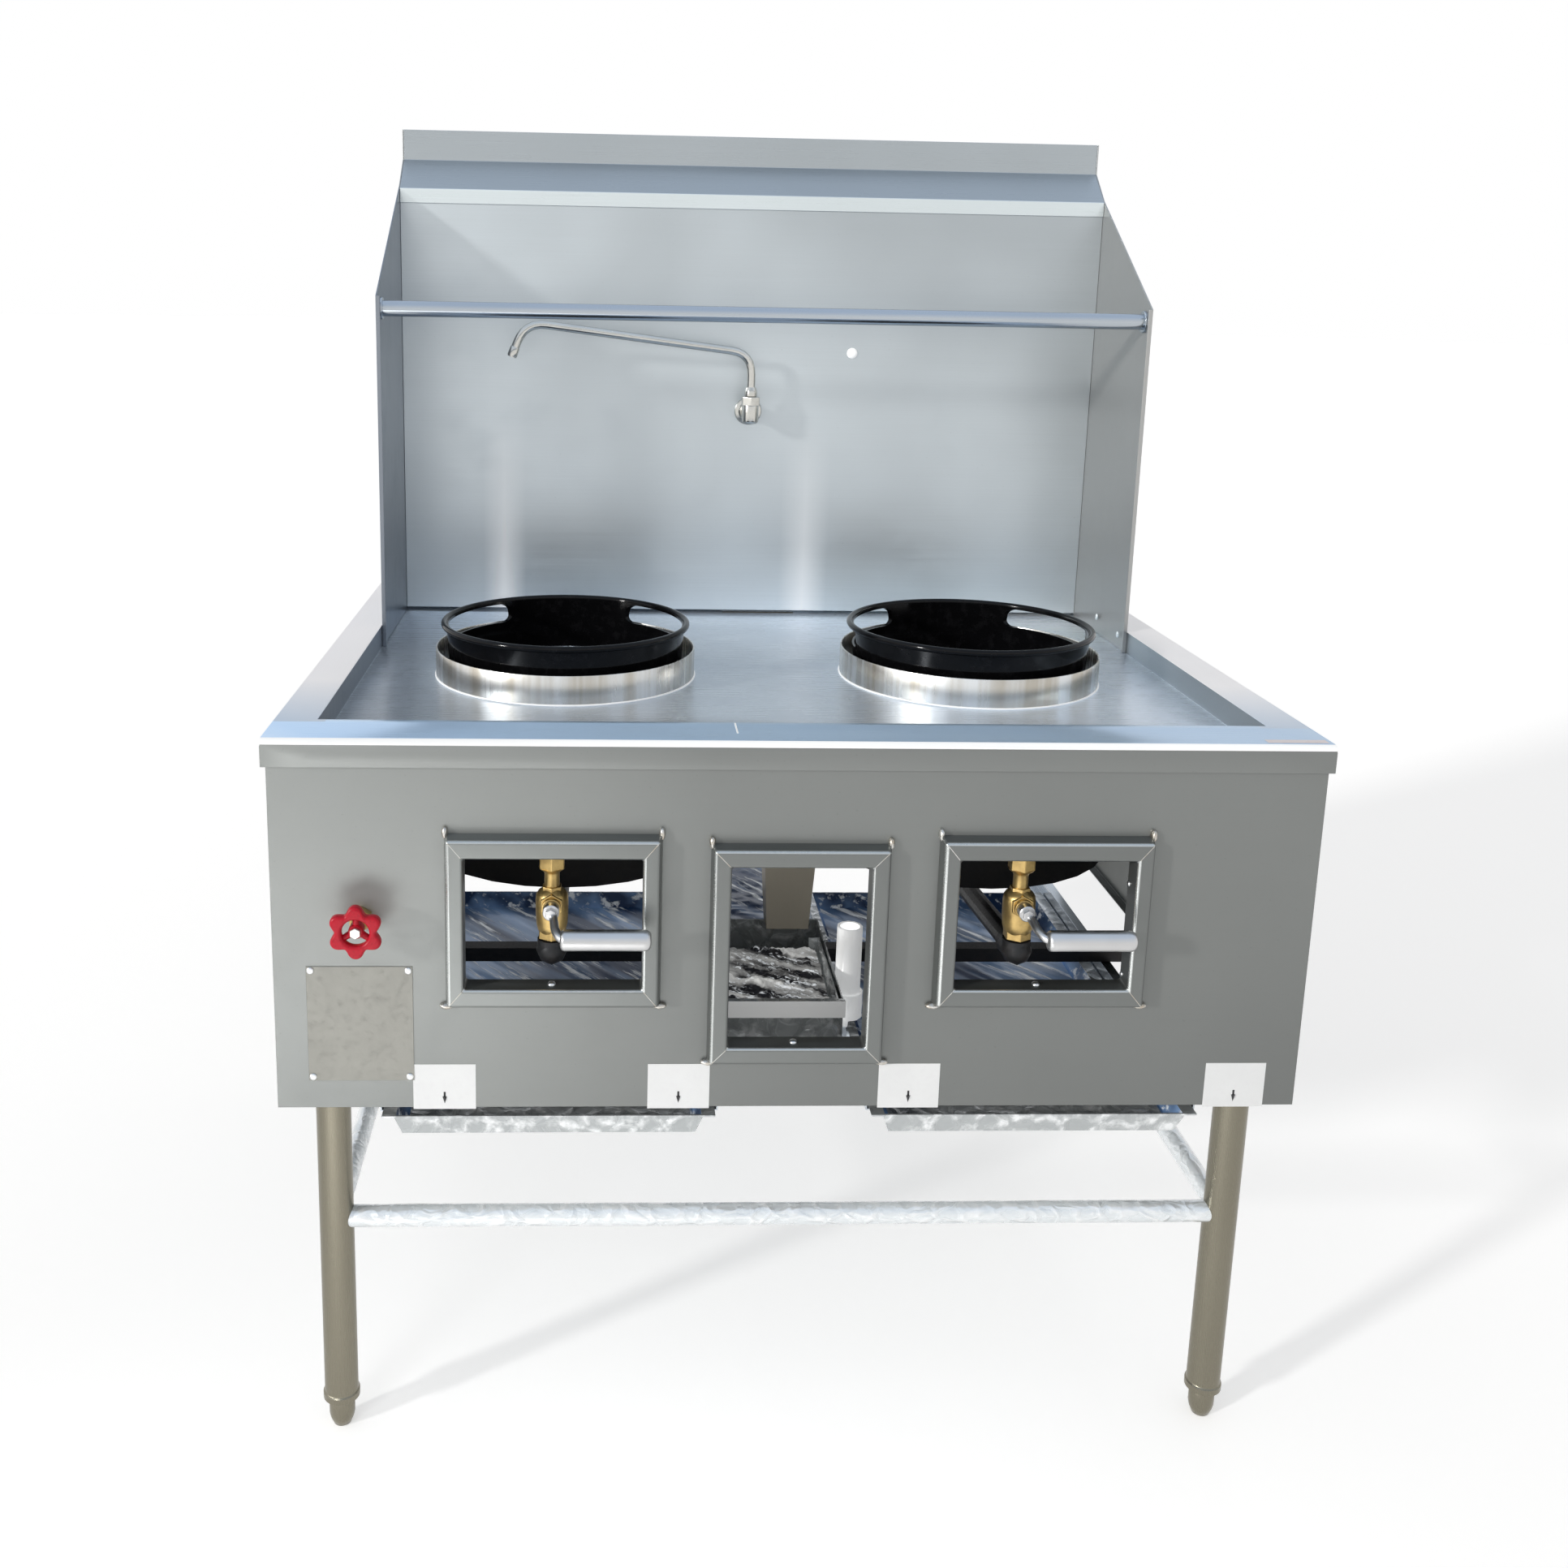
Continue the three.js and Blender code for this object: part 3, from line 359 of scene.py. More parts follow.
def mathNode(tree, operation, first, second=0.0, clamp=False):
    node = addNode(tree, "ShaderNodeMath", operation=operation, use_clamp=clamp)
    feed(tree, node.inputs[0], first)
    feed(tree, node.inputs[1], second)
    return node.outputs[0]


def ramp(tree, value, low, high, start=0.0, end=1.0):
    node = addNode(tree, "ShaderNodeMapRange", clamp=True)
    feed(tree, node.inputs["Value"], value)
    for key, amount in (("From Min", low), ("From Max", high), ("To Min", start), ("To Max", end)):
        feed(tree, node.inputs[key], amount)
    return node.outputs[0]


def mixColor(tree, factor, first, second, blend="MIX"):
    node = addNode(tree, "ShaderNodeMix", data_type="RGBA", blend_type=blend)
    feed(tree, node.inputs["Factor"], factor)
    colorSlots = [socket for socket in node.inputs if socket.type == "RGBA"]
    feed(tree, colorSlots[0], first)
    feed(tree, colorSlots[1], second)
    return node.outputs[2]


def noise(tree, coordinates, scale, detail=4.0, roughness=0.55):
    node = addNode(tree, "ShaderNodeTexNoise")
    feed(tree, node.inputs["Vector"], coordinates)
    feed(tree, node.inputs["Scale"], scale)
    node.inputs["Detail"].default_value = detail
    node.inputs["Roughness"].default_value = roughness
    return node.outputs["Fac"]


def newGroup(name, inputs, outputs):
    tree = bpy.data.node_groups.new(name, "ShaderNodeTree")
    for socket, kind, value in inputs:
        made = tree.interface.new_socket(socket, in_out="INPUT", socket_type=kind)
        made.default_value = value
    for socket in outputs:
        tree.interface.new_socket(socket, in_out="OUTPUT", socket_type="NodeSocketFloat")
    return tree, addNode(tree, "NodeGroupInput").outputs, addNode(tree, "NodeGroupOutput").inputs


def stretched(tree, stretch):
    coordinates = addNode(tree, "ShaderNodeTexCoord")
    mapping = addNode(tree, "ShaderNodeMapping")
    tree.links.new(coordinates.outputs["Object"], mapping.inputs["Vector"])
    feed(tree, mapping.inputs["Scale"], stretch)
    return mapping.outputs["Vector"]


# Fine lines of a brushed sheet; Stretch is low along the grain and high across it.
def brushedGrainGroup():
    tree, given, out = newGroup(
        "brushedGrain", [("Stretch", "NodeSocketVector", (6, 900, 900))], ["Lines", "Bands"],
    )
    vector = stretched(tree, given["Stretch"])
    feed(tree, out["Lines"], noise(tree, vector, 1.0, 3.0, 0.7))
    feed(tree, out["Bands"], noise(tree, vector, 0.06, 2.0, 0.5))
    return tree


# Soft clouding and wiped smudges of handled steel, and a few dull specks.
def handlingGroup():
    tree, given, out = newGroup(
        "handlingMarks", [("Size", "NodeSocketFloat", 3.0)], ["Clouds", "Smudges", "Specks"],
    )
    vector = addNode(tree, "ShaderNodeTexCoord").outputs["Object"]
    feed(tree, out["Clouds"], noise(tree, vector, given["Size"], 2.0, 0.5))
    smudge = noise(tree, vector, mathNode(tree, "MULTIPLY", given["Size"], 5.0), 6.0, 0.65)
    feed(tree, out["Smudges"], ramp(tree, smudge, 0.5, 0.72))
    speck = noise(tree, vector, mathNode(tree, "MULTIPLY", given["Size"], 90.0), 1.0, 0.5)
    feed(tree, out["Specks"], ramp(tree, speck, 0.73, 0.8))
    return tree


# Crumpled clear film: sharp folds as height, and the folds that catch light as a mask.
def filmGroup():
    tree, given, out = newGroup(
        "crumpledFilm", [("Stretch", "NodeSocketVector", (1, 1, 1)), ("Size", "NodeSocketFloat", 40.0)],
        ["Folds", "Glints"],
    )
    vector = stretched(tree, given["Stretch"])
    warp = addNode(tree, "ShaderNodeVectorMath", operation="ADD")
    drift = addNode(tree, "ShaderNodeTexNoise")
    feed(tree, drift.inputs["Vector"], vector)
    feed(tree, drift.inputs["Scale"], mathNode(tree, "MULTIPLY", given["Size"], 0.5))
    shrink = addNode(tree, "ShaderNodeVectorMath", operation="SCALE")
    feed(tree, shrink.inputs[0], drift.outputs["Color"])
    shrink.inputs["Scale"].default_value = 0.03
    feed(tree, warp.inputs[0], vector)
    feed(tree, warp.inputs[1], shrink.outputs[0])
    cells = addNode(tree, "ShaderNodeTexVoronoi", feature="DISTANCE_TO_EDGE")
    feed(tree, cells.inputs["Vector"], warp.outputs[0])
    feed(tree, cells.inputs["Scale"], given["Size"])
    fine = noise(tree, warp.outputs[0], mathNode(tree, "MULTIPLY", given["Size"], 1.7), 5.0, 0.6)
    ridge = ramp(tree, cells.outputs["Distance"], 0.0, 0.25, 1.0, 0.0)
    feed(tree, out["Folds"], mathNode(tree, "ADD", ridge, fine))
    glint = mathNode(tree, "MULTIPLY", ridge, ramp(tree, fine, 0.45, 0.6))
    feed(tree, out["Glints"], mathNode(tree, "ADD", glint, ramp(tree, fine, 0.62, 0.7), clamp=True))
    return tree


# Pulled film: long slanting streaks for painted glints, and wide patches for painted pale reflections.
def filmStreakGroup():
    tree, given, out = newGroup(
        "filmStreaks", [("Turn", "NodeSocketVector", (0, 0, 0.8)), ("Size", "NodeSocketFloat", 1.0)],
        ["Streaks", "Patches"],
    )
    coordinates = addNode(tree, "ShaderNodeTexCoord")
    turned = addNode(tree, "ShaderNodeMapping")
    tree.links.new(coordinates.outputs["Object"], turned.inputs["Vector"])
    feed(tree, turned.inputs["Rotation"], given["Turn"])
    pulled = addNode(tree, "ShaderNodeMapping")
    tree.links.new(turned.outputs["Vector"], pulled.inputs["Vector"])
    pulled.inputs["Scale"].default_value = (9, 75, 75)
    fine = noise(tree, pulled.outputs["Vector"], given["Size"], 5.0, 0.62)
    wide = noise(tree, pulled.outputs["Vector"], mathNode(tree, "MULTIPLY", given["Size"], 0.22), 3.0, 0.5)
    feed(tree, out["Streaks"], ramp(tree, fine, 0.55, 0.63))
    feed(tree, out["Patches"], ramp(tree, wide, 0.44, 0.7))
    return tree


# Cast or forged skin: fine pits and lumps.
def castSkinGroup():
    tree, given, out = newGroup("castSkin", [("Size", "NodeSocketFloat", 500.0)], ["Grit", "Stains"])
    vector = addNode(tree, "ShaderNodeTexCoord").outputs["Object"]
    feed(tree, out["Grit"], noise(tree, vector, given["Size"], 4.0, 0.6))
    feed(tree, out["Stains"], ramp(
        tree, noise(tree, vector, mathNode(tree, "MULTIPLY", given["Size"], 0.08), 3.0, 0.6), 0.42, 0.66,
    ))
    return tree


groups = {
    "grain": brushedGrainGroup(),
    "handling": handlingGroup(),
    "film": filmGroup(),
    "streaks": filmStreakGroup(),
    "cast": castSkinGroup(),
}


def useGroup(tree, group, **values):
    node = addNode(tree, "ShaderNodeGroup", node_tree=groups[group])
    for key, value in values.items():
        feed(tree, node.inputs[key], value)
    return node.outputs


def principled(material):
    return material.node_tree.nodes["Principled BSDF"]


def newFinish(name, metallic=0.0, **constants):
    material = bpy.data.materials.new(name)
    material.use_nodes = True
    shader = principled(material)
    shader.inputs["Metallic"].default_value = metallic
    for key, value in constants.items():
        shader.inputs[key].default_value = value
    return material, material.node_tree


# Wires tone, roughness and bump height to a finish.
def wire(material, tone, rough, height, distance, strength):
    tree, shader = material.node_tree, principled(material)
    tree.links.new(tone, shader.inputs["Base Color"])
    tree.links.new(rough, shader.inputs["Roughness"])
    node = addNode(tree, "ShaderNodeBump")
    node.inputs["Strength"].default_value = strength
    node.inputs["Distance"].default_value = mm(distance)
    feed(tree, node.inputs["Height"], height)
    tree.links.new(node.outputs["Normal"], shader.inputs["Normal"])
    return material


# What a later step needs to change a finish: its tree, shader, tone and the three axes.
def opened(material):
    tree, shader = material.node_tree, principled(material)
    axes = addNode(tree, "ShaderNodeSeparateXYZ")
    tree.links.new(addNode(tree, "ShaderNodeTexCoord").outputs["Object"], axes.inputs[0])
    return tree, shader, shader.inputs["Base Color"].links[0].from_socket, axes.outputs


def shade(color, amount):
    return tuple(min(1.0, channel * amount) for channel in color[:3]) + (1.0,)


# ---- finishes ----
print("finishes")
alongWidth = (5, 850, 850)
alongDepth = (850, 5, 850)
alongHeight = (850, 850, 5)
# Each: colour, run of the grain, roughness, metallic and, where it isn't 0.9, the tone of the clouding.
steelLooks = {
    "panelSteel": ((0.25, 0.26, 0.252), alongWidth, 0.42, 0.66),
    "deckSteel": ((0.55, 0.61, 0.68), alongWidth, 0.28, 0.64),
    # Painted reflection: the rim steel is tinted the blue of the sky it reflects.
    "rimSteel": ((0.48, 0.61, 0.75), alongWidth, 0.3, 0.85),
    # Painted highlight: the side rims are a near-white, little-metal copy of the rim steel, as if lit by the
    # sun.
    "rimSideSteel": ((0.95, 0.92, 0.91), alongDepth, 0.34, 0.3),
    "splashSteel": ((0.74, 0.80, 0.83), alongWidth, 0.36, 0.78, 0.7),
    # Painted shade and light: the left wing is a darker copy and the right wing a lighter copy of one steel.
    "wingSteel": ((0.26, 0.285, 0.32), alongHeight, 0.32, 0.85),
    "wingBright": ((0.43, 0.43, 0.42), alongHeight, 0.34, 0.8),
    "hoodSteel": ((0.42, 0.455, 0.475), alongWidth, 0.3, 0.85),
    # Painted highlight: the flue cap's front lip is a lighter copy of its steel.
    "hoodLip": ((0.72, 0.78, 0.79), alongWidth, 0.3, 0.85),
    "frameSteel": ((0.205, 0.215, 0.209), alongWidth, 0.36, 0.8),
    # Painted highlight: a lighter copy of the frame steel for the frames' lit edges.
    "frameEdge": ((0.52, 0.54, 0.53), alongWidth, 0.25, 0.8),
    "tubeSteel": ((0.235, 0.217, 0.168), alongHeight, 0.27, 0.95),
    "railSteel": ((0.47, 0.51, 0.55), alongWidth, 0.17, 0.95),
    # Painted highlight: near-white, little-metal steel with a glow for bright lips, edges and beads; on the
    # rim seam it stands for ground steel.
    "lipSteel": ((0.95, 0.96, 0.95), alongWidth, 0.35, 0.1),
    "ductSteel": ((0.52, 0.47, 0.38), alongHeight, 0.4, 0.5),
    "backSteel": ((0.44, 0.45, 0.45), alongHeight, 0.42, 0.75),
}


def steelFinish(name, color, run, dull, metallic, cloud=0.9):
    material, tree = newFinish(name, metallic, Anisotropic=0.45)
    grain = useGroup(tree, "grain", Stretch=run)
    marks = useGroup(tree, "handling", Size=3.0)
    lit = shade(color, 1.06)
    tone = mixColor(tree, grain["Lines"], shade(color, 0.93), lit)
    tone = mixColor(tree, mathNode(tree, "MULTIPLY", grain["Bands"], 0.3), tone, lit)
    tone = mixColor(tree, ramp(tree, marks["Clouds"], 0.35, 0.65, 0.0, 0.5), tone, shade(color, cloud))
    tone = mixColor(tree, mathNode(tree, "MULTIPLY", marks["Specks"], 0.25), tone, shade(color, 0.7))
    rough = ramp(tree, grain["Lines"], 0.3, 0.7, dull - 0.04, dull + 0.05)
    rough = mathNode(tree, "ADD", rough, mathNode(tree, "MULTIPLY", marks["Smudges"], 0.05))
    return wire(material, tone, rough, grain["Lines"], 0.01, 0.4)


# Painted light and shade: sheets painted lighter or darker along an axis, as light and reflections fall on
# them: finish, axis, from, to, first tone, last tone.
paintedLightFades = [
    ("splashSteel", "Z", 0.95, 1.5, 1.0, 0.74),
    ("splashSteel", "X", -0.6, 0.6, 1.16, 0.86),
    ("deckSteel", "Y", 0.1, 0.36, 1.04, 1.42),
    ("deckSteel", "X", 0.0, 0.5, 0.97, 1.35),
    ("panelSteel", "X", -0.6, -0.1, 1.35, 0.92),
    ("panelSteel", "Z", 0.45, 0.75, 0.84, 1.0),
    ("frameSteel", "X", -0.6, -0.1, 1.5, 0.93),
    ("rimSteel", "X", -0.6, 0.1, 1.32, 0.98),
]


# Multiplies a finish's colour by a ramp of painted light and shade along one axis.
def addPaintedLightFade(material, axis, low, high, first, last):
    tree, shader, base, axes = opened(material)
    amount = ramp(tree, axes[axis], low, high, first, last)
    tree.links.new(mixColor(tree, 1.0, base, amount, "MULTIPLY"), shader.inputs["Base Color"])


# Painted reflection: where the side rims meet the front rim, they are painted in the sky blue that the front
# rim reflects.
rimReflectionBlend = {"front": -0.45, "back": -0.2, "color": (0.4, 0.52, 0.66, 1)}


def addRimReflection(material):
    tree, shader, base, axes = opened(material)
    amount = ramp(tree, axes["Y"], rimReflectionBlend["front"], rimReflectionBlend["back"], 1.0, 0.0)
    tree.links.new(mixColor(tree, amount, base, rimReflectionBlend["color"]), shader.inputs["Base Color"])


# Painted highlights: the splash sheet has two soft upright streaks of painted light, in pale colour, less
# metal and glow.
# Each has its place, its half width and the strength of its painted glow.
paintedStreakShape = {
    "places": [(-0.396, 0.035, 0.3), (0.097, 0.04, 0.08)], "low": 0.87, "high": 1.2, "lift": 0.85,
    "color": (0.95, 0.97, 0.98, 1), "lessMetal": 0.7,
}


def addPaintedStreaks(material):
    tree, shader, base, axes = opened(material)
    fade = ramp(tree, axes["Z"], paintedStreakShape["low"], paintedStreakShape["high"], 1.0, 0.0)
    metal = shader.inputs["Metallic"].default_value
    glow = (0, 0, 0, 1)
    for centre, width, catch in paintedStreakShape["places"]:
        away = mathNode(tree, "ABSOLUTE", mathNode(tree, "SUBTRACT", axes["X"], centre))
        amount = mathNode(tree, "MULTIPLY", ramp(tree, away, 0.0, width, paintedStreakShape["lift"], 0.0), fade)
        base = mixColor(tree, amount, base, paintedStreakShape["color"])
        less = mathNode(tree, "MULTIPLY", amount, paintedStreakShape["lessMetal"])
        metal = mathNode(tree, "SUBTRACT", metal, less, clamp=True)
        glow = mixColor(tree, amount, glow, shade((1, 1, 1), catch))
    for socket, source in (("Base Color", base), ("Metallic", metal), ("Emission Color", glow)):
        tree.links.new(source, shader.inputs[socket])
    shader.inputs["Emission Strength"].default_value = 1.0


def collarFinish():
    material, tree = newFinish("collarSteel", 0.9, Anisotropic=0.5)
    grain = useGroup(tree, "grain", Stretch=(22, 22, 1))
    marks = useGroup(tree, "handling", Size=9.0)
    bands = ramp(tree, grain["Lines"], 0.36, 0.6)
    tone = mixColor(tree, bands, (0.5, 0.465, 0.4, 1), (0.76, 0.775, 0.775, 1))
    tone = mixColor(tree, mathNode(tree, "MULTIPLY", marks["Smudges"], 0.12), tone, (0.6, 0.56, 0.5, 1))
    return wire(material, tone, ramp(tree, grain["Lines"], 0.3, 0.7, 0.24, 0.3), grain["Bands"], 0.01, 0.2)


def filmFinish(name, color, size, stretch=(1, 1, 1)):
    material, tree = newFinish(name, 0.35, **{"Coat Roughness": 0.12})
    film = useGroup(tree, "film", Size=size, Stretch=stretch)
    tree.links.new(ramp(tree, film["Folds"], 0.4, 1.2, 0.5, 1.0), principled(material).inputs["Coat Weight"])
    # Painted glints: the folds that catch light are painted near white.
    tone = mixColor(tree, film["Glints"], color, (0.93, 0.95, 0.96, 1))
    return wire(material, tone, ramp(tree, film["Folds"], 0.4, 1.4, 0.36, 0.14), film["Folds"], 1.1, 0.9)


def streakedFilmFinish(name, dark, pale, turn, size, metallic=0.05):
    material, tree = newFinish(name, metallic, **{"Coat Roughness": 0.1})
    film = useGroup(tree, "streaks", Turn=(0, 0, turn), Size=size)
    coat = ramp(tree, film["Patches"], 0.0, 1.0, 0.1, 0.5)
    tree.links.new(coat, principled(material).inputs["Coat Weight"])
    # Painted shade, reflection and glints: a dark tone, pale reflected patches and near-white streaks.
    tone = mixColor(tree, film["Patches"], dark, pale)
    tone = mixColor(tree, mathNode(tree, "MULTIPLY", film["Streaks"], 0.9), tone, (0.93, 0.97, 1.0, 1))
    return wire(material, tone, ramp(tree, film["Streaks"], 0.0, 1.0, 0.34, 0.18), film["Streaks"], 0.8, 0.8)


def enamelFinish():
    material, tree = newFinish("blackEnamel", 0.0, **{"IOR": 1.36, "Specular IOR Level": 0.3})
    marks = useGroup(tree, "handling", Size=14.0)
    tone = mixColor(tree, marks["Smudges"], (0.003, 0.003, 0.0035, 1), (0.008, 0.008, 0.009, 1))
    return wire(material, tone, ramp(tree, marks["Clouds"], 0.3, 0.7, 0.07, 0.14), marks["Clouds"], 0.1, 0.3)


def castFinish(name, color, stain, rough, metallic, grit=500.0, depth=0.25):
    material, tree = newFinish(name, metallic)
    skin = useGroup(tree, "cast", Size=grit)
    tone = mixColor(tree, skin["Grit"], shade(color, 0.75), shade(color, 1.3))
    tone = mixColor(tree, mathNode(tree, "MULTIPLY", skin["Stains"], 0.55), tone, stain)
    dull = ramp(tree, skin["Grit"], 0.3, 0.7, rough - 0.08, rough + 0.1)
    return wire(material, tone, dull, skin["Grit"], depth, 0.6)


def platedFinish(name, color, rough):
    material, tree = newFinish(name, 1.0)
    marks = useGroup(tree, "handling", Size=22.0)
    tone = mixColor(tree, marks["Clouds"], shade(color, 0.9), shade(color, 1.08))
    tone = mixColor(tree, mathNode(tree, "MULTIPLY", marks["Specks"], 0.5), tone, shade(color, 0.5))
    dull = ramp(tree, marks["Smudges"], 0.0, 1.0, rough, rough + 0.12)
    return wire(material, tone, dull, marks["Clouds"], 0.05, 0.2)


def plainFinish(name, color, accent, rough, size, depth=0.05, **constants):
    material, tree = newFinish(name, 0.0, **constants)
    marks = useGroup(tree, "handling", Size=size)
    tone = mixColor(tree, marks["Clouds"], color, shade(color, 0.93))
    tone = mixColor(tree, mathNode(tree, "MULTIPLY", marks["Smudges"], 0.6), tone, accent)
    dull = ramp(tree, marks["Smudges"], 0.0, 1.0, rough, rough + 0.12)
    return wire(material, tone, dull, marks["Clouds"], depth, 0.4)


# Heat-tinted bead with the ripples of each pass.
def weldFinish():
    material, tree = newFinish("weldBead", 0.95)
    skin = useGroup(tree, "cast", Size=900.0)
    tone = mixColor(tree, skin["Stains"], (0.62, 0.61, 0.58, 1), (0.46, 0.40, 0.32, 1))
    return wire(material, tone, ramp(tree, skin["Grit"], 0.3, 0.7, 0.2, 0.38), skin["Grit"], 0.3, 0.7)


filmLooks = {
    "filmTube": ((0.80, 0.84, 0.86, 1), 60.0, (0.6, 0.6, 1)),
    "filmTray": ((0.46, 0.485, 0.49, 1), 34.0),
}
streakedLooks = {
    "filmBlue": ((0.008, 0.03, 0.09, 1), (0.26, 0.43, 0.72, 1), 0.9, 1.0),
    "filmPale": ((0.12, 0.19, 0.31, 1), (0.78, 0.87, 1.0, 1), 0.25, 0.8),
    "filmCrinkle": ((0.012, 0.012, 0.014, 1), (0.8, 0.8, 0.78, 1), 0.5, 2.4, 0.0),
}
castLooks = {
    "blackIron": ((0.016, 0.017, 0.019), (0.04, 0.033, 0.03, 1), 0.5, 0.4, 350.0),
    "castIron": ((0.02, 0.02, 0.021), (0.035, 0.03, 0.026, 1), 0.62, 0.4, 260.0),
    "castBrass": ((0.56, 0.40, 0.16), (0.30, 0.20, 0.08, 1), 0.38, 0.95, 420.0, 0.2),
}
platedLooks = {
    "nickelPlate": ((0.62, 0.61, 0.57), 0.2),
    "leverSteel": ((0.60, 0.60, 0.60), 0.3),
    "plateSteel": ((0.225, 0.223, 0.203), 0.36),
    "rivetSteel": ((0.85, 0.86, 0.86), 0.3),
}
plainLooks = {
    "labelPaper": ((0.86, 0.87, 0.87, 1), (0.80, 0.80, 0.81, 1), 0.5, 25.0),
    "rimTape": ((0.86, 0.78, 0.78, 1), (0.78, 0.66, 0.66, 1), 0.45, 25.0),
    "inkBlack": ((0.02, 0.02, 0.022, 1), (0.05, 0.05, 0.05, 1), 0.5, 60.0),
}
finish = {}
makers = (
    (steelFinish, steelLooks), (filmFinish, filmLooks), (streakedFilmFinish, streakedLooks),
    (castFinish, castLooks), (platedFinish, platedLooks), (plainFinish, plainLooks),
)
for make, looks in makers:
    for name, look in looks.items():
        finish[name] = make(name, *look)
for name, *fade in paintedLightFades:
    addPaintedLightFade(finish[name], *fade)
addPaintedStreaks(finish["splashSteel"])
addRimReflection(finish["rimSideSteel"])
finish["collarSteel"] = collarFinish()
finish["blackEnamel"] = enamelFinish()
finish["weldBead"] = weldFinish()
finish["redPaint"] = plainFinish(
    "redPaint", (0.5, 0.003, 0.02, 1), (0.24, 0.002, 0.01, 1), 0.34, 60.0, 0.3, **{"Specular IOR Level": 0.3},
)
finish["brightPipe"] = plainFinish(
    "brightPipe", (0.97, 0.98, 0.98, 1), (0.88, 0.87, 0.84, 1), 0.3, 12.0, **{"Coat Weight": 0.4},
)


# Painted light: these finishes glow a little as if lit. The pale things that the light reaches through the
# windows glow so they don't sink into the shade, and the side rims glow too.
paintedGlow = {
    "filmCrinkle": 0.45, "filmBlue": 0.14, "filmPale": 0.16, "lipSteel": 0.2, "brightPipe": 0.35,
    "rimSideSteel": 0.04,
}
for name, glow in paintedGlow.items():
    shader = principled(finish[name])
    source = shader.inputs["Base Color"].links[0].from_socket
    finish[name].node_tree.links.new(source, shader.inputs["Emission Color"])
    shader.inputs["Emission Strength"].default_value = glow


# ---- sheet body ----
print("sheet body")
sheetPieces = {
    "front_panel": ("sheet_steel", "panelSteel", 0.8),
    "rear_panel": ("galvanised", "backSteel", 0.6),
    "side_panel_left": ("sheet_steel", "panelSteel", 0.8),
    "side_panel_right": ("sheet_steel", "panelSteel", 0.8),
    # Painted shade and light: the left wing takes the darker copy of the steel, the right wing the lighter
    # one.
    "splash_side_left": ("sheet_steel", "wingSteel", 0.6),
    "splash_side_right": ("sheet_steel", "wingBright", 0.6),
    "splash_back": ("sheet_steel", "splashSteel", 0.6),
    "flue_casing": ("sheet_steel", "backSteel", 0.7),
    "tray_runner_left_outer": ("galvanised", "railSteel", 0.5),
    "tray_runner_left_inner": ("galvanised", "railSteel", 0.5),
    "tray_runner_right_outer": ("galvanised", "railSteel", 0.5),
    "tray_runner_right_inner": ("galvanised", "railSteel", 0.5),
    "chassis_rail_front": ("black_iron", "blackIron", 0.7),
    "chassis_rail_middle": ("black_iron", "blackIron", 0.7),
    "chassis_rail_rear": ("black_iron", "blackIron", 0.7),
    "drain_chute": ("sheet_steel", "ductSteel", 0.6),
}


# A node in one finish.
def dressCopy(node, slot, look, ease=0, degrees=30, body="range_body"):
    settle(softCopy(node, ease, degrees=degrees), slot, look, node, body=body)


# The deck is one folded sheet whose side rims are brushed the other way and are painted lighter as if sunlit.
# Depths in from the rim's front face, from its ends and from its top, at which one finish gives way to
# another.
deckShape = {
    "looks": ("deckSteel", "rimSteel", "rimSideSteel", "panelSteel", "lipSteel", "wingSteel", "hoodSteel"),
    "sideRim": 60, "wallReach": 90, "sideStart": 70, "frontEnd": 81, "skirtFront": 9, "skirtTop": 34,
    "top": 2, "bend": 9, "lip": 12,
}


def dressDeck():
    shape = {key: mm(value) for key, value in deckShape.items() if key != "looks"}
    piece = softCopy("top_deck", 0.9, 3)
    half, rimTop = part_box("top_deck")[1].x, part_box("top_deck")[1].z
    sideRim = half - shape["sideRim"]
    cutBy(piece, (0, rimFace + shape["sideStart"], 0), (0, 1, 0))
    cutBy(piece, (-sideRim, 0, 0), (1, 0, 0))
    cutBy(piece, (sideRim, 0, 0), (1, 0, 0))

    def pick(face):
        x, y, z = face.center
        lean = face.normal
        back = y - rimFace
        # Painted highlight: the rim's rounded front edge takes the bright lip steel.
        if back < shape["lip"] and z > rimTop - shape["lip"] and 0.2 < -lean.y < 0.985:
            return 4
        # Painted shade and light: the left inner wall takes the darker wing steel, the right one the lighter
        # hood steel.
        facesIn = lean.x * x < 0 and abs(lean.x) > 0.7
        if facesIn and abs(x) > half - shape["wallReach"] and z < rimTop - shape["top"]:
            return 5 if x < 0 else 6
        # Painted highlight: the tops of the side rims take the lighter side-rim steel.
        if abs(x) > sideRim and back > shape["sideStart"] and z > rimTop - shape["top"]:
            return 2
        if back < shape["frontEnd"] and z > rimTop - shape["bend"] and abs(lean.y) < 0.95:
            return 1
        return 3 if back < shape["skirtFront"] or z < rimTop - shape["skirtTop"] else 0

    paintFaces(piece, deckShape["looks"], pick)
    place(piece, "range_body", "sheet_steel", "top_deck")


# A node in two finishes; the test is true for the faces that take the second.
def dressInTwo(node, slot, looks, test, body="range_body"):
    piece = softCopy(node, 0.6)
    paintFaces(piece, looks, test)
    place(piece, body, slot, node)


for node, look in sheetPieces.items():
    dressCopy(node, *look)
dressDeck()
hoodLipFront = 838.5
# Painted highlight: the flue cap's front lip takes a lighter copy of its steel.
dressInTwo(
    "flue_cap", "sheet_steel", ("hoodSteel", "hoodLip"),
    lambda face: face.center.y < at(0, hoodLipFront, 0).y,
)


